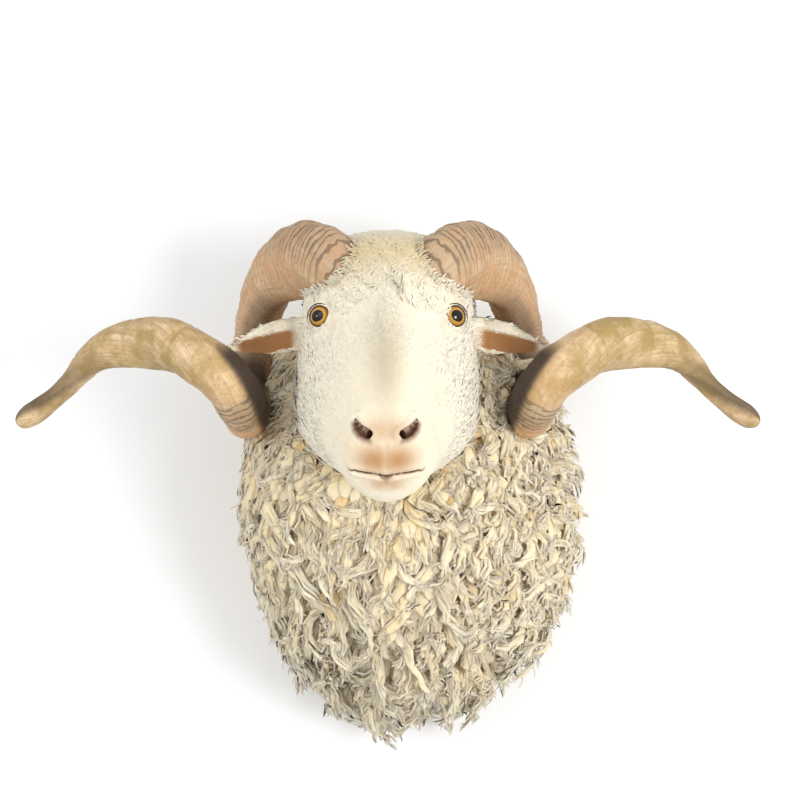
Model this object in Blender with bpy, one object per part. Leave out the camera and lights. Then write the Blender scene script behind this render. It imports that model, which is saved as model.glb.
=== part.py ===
"""A taxidermy shoulder mount of a horned ram, life size, as it hangs on a wall.

Metres, +Z up. The wall is the plane y = 0 and the ram looks out of it, along -Y.
The origin is the middle of the back board's rear face.
"""

import math
import random

import bmesh
import bpy
import numpy as np
from mathutils import Matrix, Vector
from mathutils.bvhtree import BVHTree

GAP = 0.0004  # clearance kept between pieces that touch

BOARD_WIDTH = 0.230
BOARD_HEIGHT = 0.320
BOARD_THICKNESS = 0.018
BOARD_ROUNDNESS = 0.75  # 1 makes the board an ellipse, less makes it squarer
BOARD_POINTS = 40

HEAD_OFFSET = -0.0265  # the head is carried a little to its own right of the board's middle
EYE_LINE = Vector((HEAD_OFFSET, -0.300, 0.224))  # the origin of the head's own frame
HEAD_PITCH = math.radians(45.0)  # how far the nose points below the horizon

EYE_RADIUS = 0.0145
EYE_SPREAD = 0.0625  # half the distance between the centres of the eyeballs
EYE_ALONG = 0.0088
EYE_ABOVE = 0.0062
EYE_TURN = math.radians(28.0)  # how far each eye looks out to its side
EYE_RISE = 0.06  # how far each eye looks up, as a slope
BALL_SEGMENTS = 16
BALL_RINGS = 9
LID_THICKNESS = 0.0024
LID_OPENING = (0.0124, 0.0104)  # half length and half height of the opening between the lids
LID_TILT = math.radians(22.0)
LID_PINCH = 0.25  # how far the ends of the opening are drawn in to points
LID_POINTS = 16
# The opening's cutter: distance out of the eye's centre in eye radii, share of the opening's size
LID_CUTTER = ((0.35, 0.90), (2.20, 1.15))

# The bore of a nostril from its outer upper end inwards: side, along, above, radius
NOSTRIL_PATH = (
    (0.0335, 0.176, 0.0400, 0.0012),
    (0.0300, 0.184, 0.0345, 0.0030),
    (0.0245, 0.193, 0.0330, 0.0042),
    (0.0170, 0.200, 0.0315, 0.0050),
    (0.0115, 0.197, 0.0265, 0.0048),
    (0.0110, 0.178, 0.0200, 0.0026),
)
NOSTRIL_SIDES = 7

MOUTH_GROOVE = 0.0014
MOUTH_DEPTH = 0.0045
MOUTH_CUTTER = (-0.030, 0.014)  # how far the groove's cutter reaches behind and before the line
# The line of the mouth from its corner to its middle, in the head's frame
MOUTH_LINE = ((0.0370, 0.185, -0.0085), (0.0200, 0.202, -0.0068), (0.0, 0.207, -0.0052))
LIP_RADIUS = 0.0034
LIP_SUNK = 0.0015
LIP_APART = 0.0040
LIP_TAPER = (0.45, 0.95, 1.0, 0.95, 0.45)
LIP_SIDES = 6

EAR_ROOT = (0.070, -0.0075, -0.034)  # in the head's frame
EAR_TIP = (0.160, -0.286, 0.1975)  # distance out, y and z
EAR_FACING = (0.10, -0.88, -0.34)  # where the cup opens: mostly forwards, a little down
EAR_HALF_WIDTH = 0.0172
EAR_THICKNESS = (0.0147, 0.0042)  # at the root and at the tip
EAR_DROOP = 0.010
EAR_WALL = 0.0032
CUP_REACH = (0.23, 0.93)  # where the cup begins and ends along the ear
EAR_RINGS = 9
EAR_SIDES = 10

# Sections of the head from its back to its muzzle, square to its length, with the eyes at 0:
# along, top, widest height, bottom, half width, fullness of the upper half, of the lower half
HEAD_SECTIONS = (
    (-0.128, -0.020, -0.050, -0.085, 0.036, 2.0, 2.0),
    (-0.112, 0.014, -0.045, -0.120, 0.064, 2.2, 2.2),
    (-0.088, 0.033, -0.040, -0.138, 0.080, 2.3, 2.4),
    (-0.050, 0.050, -0.042, -0.140, 0.086, 2.3, 2.6),
    (0.000, 0.057, -0.050, -0.136, 0.088, 1.85, 2.8),
    (0.040, 0.060, -0.056, -0.130, 0.088, 1.45, 2.9),
    (0.080, 0.060, -0.058, -0.121, 0.083, 1.45, 3.0),
    (0.120, 0.056, -0.050, -0.104, 0.068, 1.70, 2.9),
    (0.155, 0.050, -0.036, -0.084, 0.053, 2.0, 2.6),
    (0.180, 0.045, -0.020, -0.068, 0.047, 2.3, 2.4),
    (0.198, 0.037, -0.010, -0.055, 0.041, 2.5, 2.3),
    (0.208, 0.022, -0.008, -0.040, 0.029, 2.4, 2.2),
)
HEAD_RINGS = 26
HEAD_SIDES = 28

# The horn's curl, seen from its side as turns about a centre, while it moves out sideways:
# turn in degrees, distance out, curl radius, centre y, centre z, radial width, sideways width
HORN_CURL = (
    (-42.0, 0.046, 0.072, -0.243, 0.210, 0.082, 0.060),
    (0.0, 0.087, 0.075, -0.245, 0.209, 0.081, 0.061),
    (50.0, 0.129, 0.077, -0.246, 0.209, 0.076, 0.052),
    (110.0, 0.147, 0.078, -0.247, 0.209, 0.070, 0.046),
    (180.0, 0.145, 0.074, -0.250, 0.206, 0.063, 0.047),
    (230.0, 0.154, 0.054, -0.262, 0.187, 0.060, 0.051),
    (285.0, 0.183, 0.036, -0.270, 0.168, 0.057, 0.052),
    (345.0, 0.228, 0.034, -0.270, 0.164, 0.055, 0.047),
    (405.0, 0.298, 0.035, -0.266, 0.163, 0.042, 0.034),
    (470.0, 0.350, 0.034, -0.262, 0.150, 0.030, 0.022),
    (525.0, 0.384, 0.033, -0.258, 0.150, 0.022, 0.014),
)
HORN_RINGS = 66
HORN_SIDES = 10
HORN_RIDGE = 0.0016
HORN_NARROWING = 0.22  # how much narrower the horn is on the inner side of its curl
HORN_STEP = 0.004  # the step that the horn's direction is measured over

# Sections of the fleeced neck and chest, from the board up to the head:
# nape y, nape z, throat y, throat z, half width, sideways shift
BODY_SECTIONS = (
    (-0.0186, 0.186, -0.0186, -0.158, 0.138, 0.000),
    (-0.070, 0.204, -0.088, -0.166, 0.152, 0.000),
    (-0.115, 0.212, -0.165, -0.138, 0.152, -0.003),
    (-0.150, 0.222, -0.222, -0.088, 0.138, -0.009),
    (-0.175, 0.232, -0.258, -0.034, 0.119, -0.016),
    (-0.195, 0.236, -0.280, 0.022, 0.098, -0.022),
    (-0.212, 0.230, -0.285, 0.070, 0.076, -0.0265),
)
BODY_FULLNESS = 0.86  # 1 makes the sections ellipses, less makes them squarer
BRISKET_WEDGE = 3.1  # how late and how sharply the chest narrows to its lower point
BODY_RINGS = 12
BODY_SIDES = 22
NECK_START = 0.56  # where the neck is parted from the chest, from 0 at the board to 1 at the head

# The fleece: flat tapering locks in staggered rows, each bent down over the next row's roots
CORE_DEPTH = 0.010  # how far the core of the fleece stands out from the skin
LOCK_SPACING = 0.060
LOCK_ROW_STEP = 0.054
LOCK_LENGTH = (0.086, 0.104)
LOCK_WIDTH = (0.056, 0.066)
LOCK_THICKNESS = (0.016, 0.020)
LOCK_SUNK = 0.008
LOCK_SWAY = 0.011
LOCK_SCATTER = 0.12  # how far a root strays from its place in the row, in spacings
LOCK_FALL = 0.75  # how strongly a lock's own weight draws it down
LOCK_ROWS_FROM = 0.97
LOCK_ROWS_TO = 0.03
# Along a lock: share of its length, height over the core, share of its full width
LOCK_PROFILE = (
    (0.04, -1.0, 0.60),
    (0.38, 0.90, 1.00),
    (0.76, 0.90, 0.72),
)
LOCK_TIP = (1.0, 0.35, 0.0)
LOCK_SECTION = ((1.0, -0.2), (0.35, 1.0), (-0.35, 1.0), (-1.0, -0.2), (0.0, -0.9))
LOCK_HEIGHT = 0.017
WALL_CLEARANCE = 0.003
SEED = 11

MATERIALS = {
    "plywood": ((0.52, 0.37, 0.21), 0.75),
    "fleece": ((0.78, 0.68, 0.49), 0.90),
    "face_hair": ((0.86, 0.80, 0.68), 0.85),
    "horn": ((0.50, 0.36, 0.20), 0.55),
    "ear_skin": ((0.80, 0.60, 0.42), 0.80),
    "glass_eye": ((0.55, 0.33, 0.06), 0.08),
}


def material(name):
    """The material of this name, made on first use."""
    found = bpy.data.materials.get(name)
    if found:
        return found
    colour, roughness = MATERIALS[name]
    made = bpy.data.materials.new(name)
    made.use_nodes = True
    shader = made.node_tree.nodes["Principled BSDF"]
    shader.inputs["Base Color"].default_value = (*colour, 1.0)
    shader.inputs["Roughness"].default_value = roughness
    return made


def through(table, position):
    """A row between the rows of a table, on a smooth curve; position runs from 0 to 1."""
    rows = np.array(table, float)
    place = min(max(position, 0.0), 1.0) * (len(rows) - 1)
    i = min(int(place), len(rows) - 2)
    t = place - i
    before, after = rows[max(i - 1, 0)], rows[min(i + 2, len(rows) - 1)]
    start, end = rows[i], rows[i + 1]
    lean_in = (end - before) / (2 if i > 0 else 1)
    lean_out = (after - start) / (2 if i + 2 < len(rows) else 1)
    curve = start * (2 * t**3 - 3 * t**2 + 1) + lean_in * (t**3 - 2 * t**2 + t)
    curve += end * (3 * t**2 - 2 * t**3) + lean_out * (t**3 - t**2)
    return curve.tolist()


def bulge(value, power):
    """A power of a sine or cosine that keeps its sign, for outlines fuller or leaner than an ellipse."""
    return math.copysign(abs(value) ** power, value)


def new_object(name, shape, finish):
    """Puts a bmesh in the scene as a named object, and frees it."""
    bmesh.ops.recalc_face_normals(shape, faces=shape.faces)
    mesh = bpy.data.meshes.new(name)
    shape.to_mesh(mesh)
    shape.free()
    mesh.materials.append(material(finish))
    mesh.shade_smooth()
    mesh.set_sharp_from_angle(angle=math.radians(50))
    obj = bpy.data.objects.new(name, mesh)
    bpy.context.scene.collection.objects.link(obj)
    return obj


def skin_over(rings, grow=0.0):
    """A closed bmesh through rings of points, with a fan at each end, grown outwards by grow."""
    shape = bmesh.new()
    loops = [[shape.verts.new(p) for p in ring] for ring in rings]
    for first, second in zip(loops, loops[1:]):
        for k in range(len(first)):
            n = (k + 1) % len(first)
            shape.faces.new((first[k], first[n], second[n], second[k]))
    for loop in (loops[0], loops[-1]):
        middle = shape.verts.new(sum((v.co for v in loop), Vector()) / len(loop))
        for k in range(len(loop)):
            shape.faces.new((loop[k], loop[(k + 1) % len(loop)], middle))
    bmesh.ops.recalc_face_normals(shape, faces=shape.faces)
    bmesh.ops.triangulate(shape, faces=shape.faces)
    if grow:
        shape.normal_update()
        moved = [v.co + v.normal * grow for v in shape.verts]
        for v, place in zip(shape.verts, moved):
            v.co = place
    return shape


def boolean(target, operation, others, solver="EXACT"):
    """Joins target with closed objects or cuts it with them, and removes them."""
    group = bpy.data.collections.new("operands")
    bpy.context.scene.collection.children.link(group)
    for other in others:
        bpy.context.scene.collection.objects.unlink(other)
        group.objects.link(other)
    step = target.modifiers.new(operation.lower(), "BOOLEAN")
    step.operation = operation
    step.solver = solver
    step.operand_type = "COLLECTION"
    step.collection = group
    graph = bpy.context.evaluated_depsgraph_get()
    result = bpy.data.meshes.new_from_object(target.evaluated_get(graph))
    target.modifiers.clear()
    spare, target.data = target.data, result
    bpy.data.meshes.remove(spare)
    for other in others:
        bpy.data.meshes.remove(other.data)
    bpy.data.collections.remove(group)
    return target


def keep_largest(obj):
    """Drops every closed surface of a mesh but the one with the largest area."""
    shape = bmesh.new()
    shape.from_mesh(obj.data)
    left, groups = set(shape.faces), []
    while left:
        group, edge = set(), [left.pop()]
        while edge:
            face = edge.pop()
            group.add(face)
            for side in face.edges:
                for near in side.link_faces:
                    if near in left:
                        left.discard(near)
                        edge.append(near)
        groups.append(group)
    largest = max(groups, key=lambda g: sum(f.calc_area() for f in g))
    spare = [f for g in groups if g is not largest for f in g]
    bmesh.ops.delete(shape, geom=spare, context="FACES")
    shape.to_mesh(obj.data)
    shape.free()


def surface_of(obj):
    """A searchable copy of an object's surface."""
    faces = [tuple(face.vertices) for face in obj.data.polygons]
    return BVHTree.FromPolygons([v.co for v in obj.data.vertices], faces)


def inside(surface, point):
    """Whether a point lies inside a closed surface."""
    found, normal, _, _ = surface.find_nearest(point)
    return (point - found).dot(normal) < 0


def head_place(side, along, above):
    """A point in the head's own frame, as a point in space."""
    sine, cosine = math.sin(HEAD_PITCH), math.cos(HEAD_PITCH)
    y = -cosine * along - sine * above
    z = cosine * above - sine * along
    return EYE_LINE + Vector((side, y, z))


def head_rings():
    """Rings of points from the back of the head to the muzzle, denser towards the muzzle."""
    rings = []
    for i in range(HEAD_RINGS):
        section = through(HEAD_SECTIONS, i / (HEAD_RINGS - 1))
        along, top, middle, bottom, half, upper, lower = section
        ring = []
        for k in range(HEAD_SIDES):
            angle = 2 * math.pi * k / HEAD_SIDES
            sine, cosine = math.sin(angle), math.cos(angle)
            power = 2 / (upper if cosine > 0 else lower)
            reach = (top - middle) if cosine > 0 else (middle - bottom)
            above = middle + reach * bulge(cosine, power)
            ring.append(head_place(half * bulge(sine, power), along, above))
        rings.append(ring)
    return rings


def head_core(name, grow=0.0):
    """The closed form of the head without its features."""
    return new_object(name, skin_over(head_rings(), grow), "face_hair")


def eye_place(hand):
    """The centre of one eyeball."""
    return head_place(hand * EYE_SPREAD, EYE_ALONG, EYE_ABOVE)


def eye_aim(hand):
    """The turn that points +Z out of the eye, with +X along the opening of the lids."""
    out = Vector((hand * math.sin(EYE_TURN), -math.cos(EYE_TURN), EYE_RISE)).normalized()
    level = Vector((0, 0, 1)).cross(out).normalized()
    upright = out.cross(level)
    turn = Matrix((level, upright, out)).transposed()
    return turn @ Matrix.Rotation(-hand * LID_TILT, 3, "Z")


def ball(name, centre, radius, finish):
    """A ball of flat facets."""
    shape = bmesh.new()
    bmesh.ops.create_uvsphere(shape, u_segments=BALL_SEGMENTS, v_segments=BALL_RINGS, radius=radius)
    bmesh.ops.translate(shape, verts=shape.verts, vec=centre)
    return new_object(name, shape, finish)


def lid_opening(hand):
    """The almond-shaped cutter that opens the lids in front of one eye."""
    half_length, half_height = LID_OPENING
    points = []
    for k in range(LID_POINTS):
        angle = 2 * math.pi * k / LID_POINTS
        pinch = 1 - LID_PINCH * math.cos(angle) ** 2
        points.append((half_length * math.cos(angle), half_height * math.sin(angle) * pinch))
    turn, centre = eye_aim(hand), eye_place(hand)
    rings = []
    for depth, spread in LID_CUTTER:
        ring = [Vector((x * spread, y * spread, depth * EYE_RADIUS)) for x, y in points]
        rings.append([centre + turn @ point for point in ring])
    return new_object("lid_opening", skin_over(rings), "face_hair")


def tube(name, places, radii, sides, finish):
    """A closed round tube through a row of places, with a radius at each."""
    rings = []
    for i, place in enumerate(places):
        ahead = places[min(i + 1, len(places) - 1)] - places[max(i - 1, 0)]
        across = ahead.orthogonal().normalized()
        if i:
            across = (before - ahead * before.dot(ahead) / ahead.length_squared).normalized()
        before = across
        upright = ahead.normalized().cross(across)
        turns = [2 * math.pi * k / sides for k in range(sides)]
        spokes = [math.cos(t) * across + math.sin(t) * upright for t in turns]
        rings.append([place + radii[i] * spoke for spoke in spokes])
    return new_object(name, skin_over(rings), finish)


def nostril_cutter(hand):
    """A comma-shaped bore: a slit that runs up and out from a rounder hole near the middle."""
    places = [head_place(hand * side, along, above) for side, along, above, _ in NOSTRIL_PATH]
    radii = [point[-1] for point in NOSTRIL_PATH]
    return tube("nostril", places, radii, NOSTRIL_SIDES, "face_hair")


def mouth_points():
    """The line of the mouth from one corner to the other, in the head's frame."""
    far_half = [(-side, along, above) for side, along, above in MOUTH_LINE[:-1]]
    return far_half + list(reversed(MOUTH_LINE))


def mouth_cutter():
    """The thin groove of the mouth: a bent plate across the muzzle, less the inside of the head."""
    rings = []
    for side, along, above in mouth_points():
        near, far = (along + reach for reach in MOUTH_CUTTER)
        low, high = above - MOUTH_GROOVE / 2, above + MOUTH_GROOVE / 2
        corners = ((near, low), (far, low), (far, high), (near, high))
        rings.append([head_place(side, *corner) for corner in corners])
    plate = new_object("mouth", skin_over(rings), "face_hair")
    return boolean(plate, "DIFFERENCE", [head_core("inside", -MOUTH_DEPTH)])


def lips(surface):
    """The two soft ridges that close on the line of the mouth."""
    made = []
    for apart in (LIP_APART, -LIP_APART):
        places = []
        for side, along, above in mouth_points():
            found, normal, _, _ = surface.find_nearest(head_place(side, along, above + apart))
            places.append(found - normal * LIP_SUNK)
        radii = [LIP_RADIUS * share for share in LIP_TAPER]
        made.append(tube("lip", places, radii, LIP_SIDES, "face_hair"))
    return made


def make_head():
    """The head, with its lids, nostrils and mouth, and sockets for the horns and ears."""
    head = head_core("head")
    raised = lips(surface_of(head))
    for hand in (-1, 1):
        raised.append(ball("lids", eye_place(hand), EYE_RADIUS + LID_THICKNESS, "face_hair"))
    boolean(head, "UNION", raised)
    cutters = [mouth_cutter()]
    for hand in (-1, 1):
        cutters.append(nostril_cutter(hand))
        cutters.append(ball("socket", eye_place(hand), EYE_RADIUS + GAP, "face_hair"))
        cutters.append(lid_opening(hand))
        cutters.append(horn("horn_seat", hand, GAP))
        cutters.append(ear("ear_seat", hand, GAP))
    for cutter in cutters:
        boolean(head, "DIFFERENCE", [cutter])
    keep_largest(head)


def horn_frame(position):
    """Centre, outward direction of the curl and the two half widths at a place along the horn."""
    turn, out, radius, y, z, radial, sideways = through(HORN_CURL, position)
    angle = math.radians(turn)
    outward = Vector((0, math.sin(angle), math.cos(angle)))
    centre = Vector((out, y, z)) + radius * outward
    return centre, outward, radial / 2, sideways / 2


def horn_rings(hand):
    """Rings along one horn: broad and ridged on the outer side of the curl, narrower on the inner."""
    rings = []
    for i in range(HORN_RINGS):
        position = i / (HORN_RINGS - 1)
        centre, outward, radial, sideways = horn_frame(position)
        behind = horn_frame(max(position - HORN_STEP, 0.0))[0]
        ahead = (horn_frame(min(position + HORN_STEP, 1.0))[0] - behind).normalized()
        outward = (outward - ahead * outward.dot(ahead)).normalized()
        across = ahead.cross(outward)
        ridge = HORN_RIDGE * (1 if i % 2 else -1) * max(0.15, 1 - position * 1.1)
        blunt = min(1.0, 0.55 + (1 - position) * 9.0)
        ring = []
        for k in range(HORN_SIDES):
            angle = 2 * math.pi * (k + 0.5) / HORN_SIDES
            up, side = math.cos(angle), math.sin(angle)
            narrow = 1 - HORN_NARROWING * max(0.0, -up)
            height = radial * blunt + ridge * (0.6 + 0.4 * up)
            width = sideways * blunt * narrow + ridge / 2
            point = centre + outward * (height * up) + across * (width * side)
            ring.append(Vector((HEAD_OFFSET + hand * point.x, point.y, point.z)))
        rings.append(ring)
    return rings


def horn(name, hand, grow=0.0):
    """One horn, from its root inside the head to its blunt tip."""
    return new_object(name, skin_over(horn_rings(hand), grow), "horn")


def ear_rings(hand, cup):
    """Rings along an ear: the whole leaf, or the hollow inside it when cup is true."""
    root = head_place(hand * EAR_ROOT[0], *EAR_ROOT[1:])
    stretch = Vector((HEAD_OFFSET + hand * EAR_TIP[0], *EAR_TIP[1:])) - root
    ahead = stretch.normalized()
    facing = Vector((hand * EAR_FACING[0], *EAR_FACING[1:]))
    facing = (facing - ahead * facing.dot(ahead)).normalized()
    upright = ahead.cross(facing) * hand
    rings = []
    for i in range(EAR_RINGS):
        share = i / (EAR_RINGS - 1)
        if cup:
            share = CUP_REACH[0] + (CUP_REACH[1] - CUP_REACH[0]) * share
        half = EAR_HALF_WIDTH * math.sin(math.pi * (0.30 + 0.62 * share)) ** 0.75
        half *= 1 - 0.68 * max(0.0, (share - 0.55) / 0.45) ** 1.6
        deep = EAR_THICKNESS[0] + (EAR_THICKNESS[1] - EAR_THICKNESS[0]) * share
        centre = root + stretch * share - Vector((0, 0, EAR_DROOP * (share**2 - 0.4)))
        if cup:
            half -= EAR_WALL * 0.75
            deep -= EAR_WALL * 0.55
            centre += facing * (deep * 0.55 + EAR_WALL * 0.35)
        ring = []
        for k in range(EAR_SIDES):
            angle = 2 * math.pi * k / EAR_SIDES
            rise, front = half * math.cos(angle), 0.75 * deep * math.sin(angle)
            ring.append(centre + upright * rise + facing * front)
        rings.append(ring)
    return rings


def ear(name, hand, grow=0.0):
    """One ear; grown, it is the seat that its neighbours are cut by, with no cup."""
    leaf = new_object(name, skin_over(ear_rings(hand, False), grow), "ear_skin")
    if grow:
        return leaf
    cup = new_object("cup", skin_over(ear_rings(hand, True)), "ear_skin")
    return boolean(leaf, "DIFFERENCE", [cup])


def body_place(position, angle, grow=0.0):
    """A point on the core of the neck and chest; angle 0 is the nape and half a turn the throat."""
    nape_y, nape_z, throat_y, throat_z, half, shift = through(BODY_SECTIONS, position)
    nape, throat = Vector((shift, nape_y, nape_z)), Vector((shift, throat_y, throat_z))
    middle, rise = (nape + throat) / 2, (nape - throat) / 2
    lift = bulge(math.cos(angle), BODY_FULLNESS)
    spread = bulge(math.sin(angle), BODY_FULLNESS)
    if lift < 0:
        wedge = math.copysign(1 - abs(lift) ** BRISKET_WEDGE, spread)
        spread += (wedge - spread) * (1 - position)
    grown = rise.normalized() * (grow * lift)
    return middle + rise * lift + grown + Vector(((half + grow) * spread, 0, 0))


def body_core(name, grow):
    """The closed form of the neck and chest that the locks are rooted in."""
    turns = [2 * math.pi * k / BODY_SIDES for k in range(BODY_SIDES)]
    places = [i / (BODY_RINGS - 1) for i in range(BODY_RINGS)]
    rings = [[body_place(place, turn, grow) for turn in turns] for place in places]
    return new_object(name, skin_over(rings), "fleece")


def half_space(name, point, normal):
    """A large box that fills the side of a plane that normal points to."""
    shape = bmesh.new()
    bmesh.ops.create_cube(shape, size=2.0)
    bmesh.ops.translate(shape, verts=shape.verts, vec=(0, 0, 1.0))
    turn = Vector((0, 0, 1)).rotation_difference(normal).to_matrix().to_4x4()
    bmesh.ops.transform(shape, matrix=Matrix.Translation(point) @ turn, verts=shape.verts)
    return new_object(name, shape, "fleece")


def lock_lie(position, angle, root):
    """Which way a lock rooted here lies: back towards the board and down, and outwards at the wall."""
    start = max(position, 0.05)
    ahead = body_place(start - 0.02, angle, CORE_DEPTH) - body_place(start, angle, CORE_DEPTH)
    back = ahead.normalized() * min(1.0, 0.25 + 2.2 * position)
    outward = Vector((root.x, 0, root.z)).normalized() * max(0.0, 0.35 - position)
    return (back + Vector((0, 0, -LOCK_FALL)) + outward).normalized()


def lock_sites(chance):
    """Root points of the locks with the way each lies, in staggered rows from the head to the board."""
    start, end = body_place(LOCK_ROWS_FROM, math.pi), body_place(LOCK_ROWS_TO, math.pi)
    rows = 1 + round((end - start).length / LOCK_ROW_STEP)
    turns = [2 * math.pi * k / 48 for k in range(49)]
    for row in range(rows):
        position = LOCK_ROWS_FROM + (LOCK_ROWS_TO - LOCK_ROWS_FROM) * row / (rows - 1)
        outline = [body_place(position, turn) for turn in turns]
        girth = sum((b - a).length for a, b in zip(outline, outline[1:]))
        count = round(girth / LOCK_SPACING)
        for k in range(count):
            stray = chance.uniform(-LOCK_SCATTER, LOCK_SCATTER)
            angle = 2 * math.pi * (k + 0.5 * (row % 2) + stray) / count
            root = body_place(position, angle, CORE_DEPTH)
            yield root, lock_lie(position, angle, root)


def make_lock(root, lie, surface, chance):
    """One flat tapering lock, bent over along its lie and closed to a point."""
    length = chance.uniform(*LOCK_LENGTH)
    width = chance.uniform(*LOCK_WIDTH)
    thickness = chance.uniform(*LOCK_THICKNESS)
    sway = chance.uniform(-LOCK_SWAY, LOCK_SWAY)
    hang = max(0.0, -surface.find_nearest(root)[1].z)
    places, normals = [], []
    for share, height, _ in (*LOCK_PROFILE, LOCK_TIP):
        free = root + lie * (length * share)
        found, normal, _, _ = surface.find_nearest(free)
        lift = height * (LOCK_HEIGHT if height > 0 else LOCK_SUNK)
        place = found.lerp(free, hang) + normal * lift
        place += lie.cross(normal) * (sway * math.sin(4.2 * share))
        place.y = min(place.y, -WALL_CLEARANCE - thickness / 2)
        places.append(place)
        normals.append(normal)
    rings = []
    for i, (_, _, share) in enumerate(LOCK_PROFILE):
        ahead = (places[i + 1] - places[max(i - 1, 0)]).normalized()
        across = normals[i].cross(ahead).normalized()
        wide = across * (share * width / 2)
        thick = ahead.cross(across) * (share * thickness / 2)
        rings.append([places[i] + wide * side + thick * up for side, up in LOCK_SECTION])
    shape = skin_over(rings)
    tip = min(shape.verts, key=lambda v: (v.co - places[-2]).length)
    tip.co = places[-1]
    return new_object("lock", shape, "fleece")


def fleece_seats():
    """Grown copies of all that the fleece grows round."""
    seats = [head_core("head_seat", GAP)]
    for hand in (-1, 1):
        seats.append(horn("horn_seat", hand, GAP))
        seats.append(ear("ear_seat", hand, GAP))
    return seats


def part_neck(whole):
    """Cuts the fleece across between chest and neck, with a thin slit, and makes the neck of the rest."""
    nape, throat = body_place(NECK_START, 0), body_place(NECK_START, math.pi)
    middle = (nape + throat) / 2
    towards_head = (throat - nape).cross(Vector((1, 0, 0))).normalized()
    neck = whole.copy()
    neck.data = whole.data.copy()
    neck.name = "neck"
    bpy.context.scene.collection.objects.link(neck)
    slit = towards_head * (GAP / 2)
    boolean(neck, "DIFFERENCE", [half_space("behind", middle + slit, -towards_head)], "MANIFOLD")
    boolean(whole, "DIFFERENCE", [half_space("before", middle - slit, towards_head)], "MANIFOLD")
    keep_largest(neck)
    keep_largest(whole)


def make_fleece():
    """The neck and the chest with their locks, modelled whole and then parted."""
    chance = random.Random(SEED)
    whole = body_core("chest", CORE_DEPTH)
    surface = surface_of(whole)
    seats = fleece_seats()
    hidden = [surface_of(seat) for seat in seats]
    locks = []
    for root, lie in lock_sites(chance):
        if not any(inside(seat, root) for seat in hidden):
            locks.append(make_lock(root, lie, surface, chance))
    boolean(whole, "UNION", locks)
    wall = half_space("wall", Vector((0, -WALL_CLEARANCE, 0)), Vector((0, 1, 0)))
    for cutter in [wall, make_board("board_seat", GAP), *seats]:
        boolean(whole, "DIFFERENCE", [cutter], "MANIFOLD")
    part_neck(whole)


def make_board(name, grow=0.0):
    """The plywood board that the form is screwed to, flat against the wall."""
    shape = bmesh.new()
    loop = []
    for k in range(BOARD_POINTS):
        angle = 2 * math.pi * k / BOARD_POINTS
        x = (BOARD_WIDTH / 2 + grow) * bulge(math.sin(angle), BOARD_ROUNDNESS)
        z = (BOARD_HEIGHT / 2 + grow) * bulge(math.cos(angle), BOARD_ROUNDNESS)
        loop.append(shape.verts.new((x, grow, z)))
    face = shape.faces.new(loop)
    pushed = bmesh.ops.extrude_face_region(shape, geom=[face])
    front = [v for v in pushed["geom"] if isinstance(v, bmesh.types.BMVert)]
    bmesh.ops.translate(shape, verts=front, vec=(0, -BOARD_THICKNESS - 2 * grow, 0))
    return new_object(name, shape, "plywood")


def main():
    for obj in list(bpy.data.objects):
        bpy.data.objects.remove(obj)
    make_board("back_board")
    make_fleece()
    make_head()
    for side, hand in (("right", -1), ("left", 1)):
        horn(f"horn_{side}", hand)
        ear(f"ear_{side}", hand)
        ball(f"eye_{side}", eye_place(hand), EYE_RADIUS, "glass_eye")


main()
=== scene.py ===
"""A long-woolled ram's shoulder mount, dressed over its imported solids.

Metres, +Z up. The wall is the plane y = 0 and the ram looks out of it, along -Y. The mount is a
tanned skin over a form, with horns, glass eyes, short hair on the face and ears and a long fleece
on the neck and chest.
"""

import logging
import math
from dataclasses import dataclass
from enum import Enum

import bmesh
import bpy
import numpy as np
from mathutils import Matrix, Vector
from mathutils.bvhtree import BVHTree

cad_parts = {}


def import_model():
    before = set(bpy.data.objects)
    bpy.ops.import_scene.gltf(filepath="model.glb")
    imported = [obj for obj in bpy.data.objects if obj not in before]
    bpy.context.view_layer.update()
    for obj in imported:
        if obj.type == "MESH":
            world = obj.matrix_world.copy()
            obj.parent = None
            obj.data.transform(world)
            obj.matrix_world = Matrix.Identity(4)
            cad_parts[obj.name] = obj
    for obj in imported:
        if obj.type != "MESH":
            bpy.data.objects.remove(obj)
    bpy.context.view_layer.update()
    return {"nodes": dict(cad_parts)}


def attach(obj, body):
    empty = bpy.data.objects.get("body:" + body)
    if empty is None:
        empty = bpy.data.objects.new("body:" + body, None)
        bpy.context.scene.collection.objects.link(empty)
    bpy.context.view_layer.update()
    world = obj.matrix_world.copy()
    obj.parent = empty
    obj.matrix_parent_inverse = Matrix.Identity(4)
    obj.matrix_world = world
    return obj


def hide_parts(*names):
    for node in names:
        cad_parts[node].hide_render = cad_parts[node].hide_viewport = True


LOG = logging.getLogger("ram_mount")
BODY = "root"
PIECE_FACES = 95_000  # quads and triangles a piece of the coat may hold

HEAD_OFFSET = -0.0265
EYE_LINE = np.array((HEAD_OFFSET, -0.300, 0.224))
HEAD_PITCH = math.radians(45.0)
CORE_DEPTH = 0.010  # how far the solids' own core stands over the skin
COAT_DEPTH = 0.032  # how far the outermost locks stand over the skin
WALL_CLEARANCE = 0.004


class Hand(Enum):
    """The ram's own right and left, with the sign of x on each side."""

    RIGHT = -1
    LEFT = 1

    @property
    def word(self) -> str:
        """The side's name in the names of pieces and solids."""
        return self.name.lower()


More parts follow.
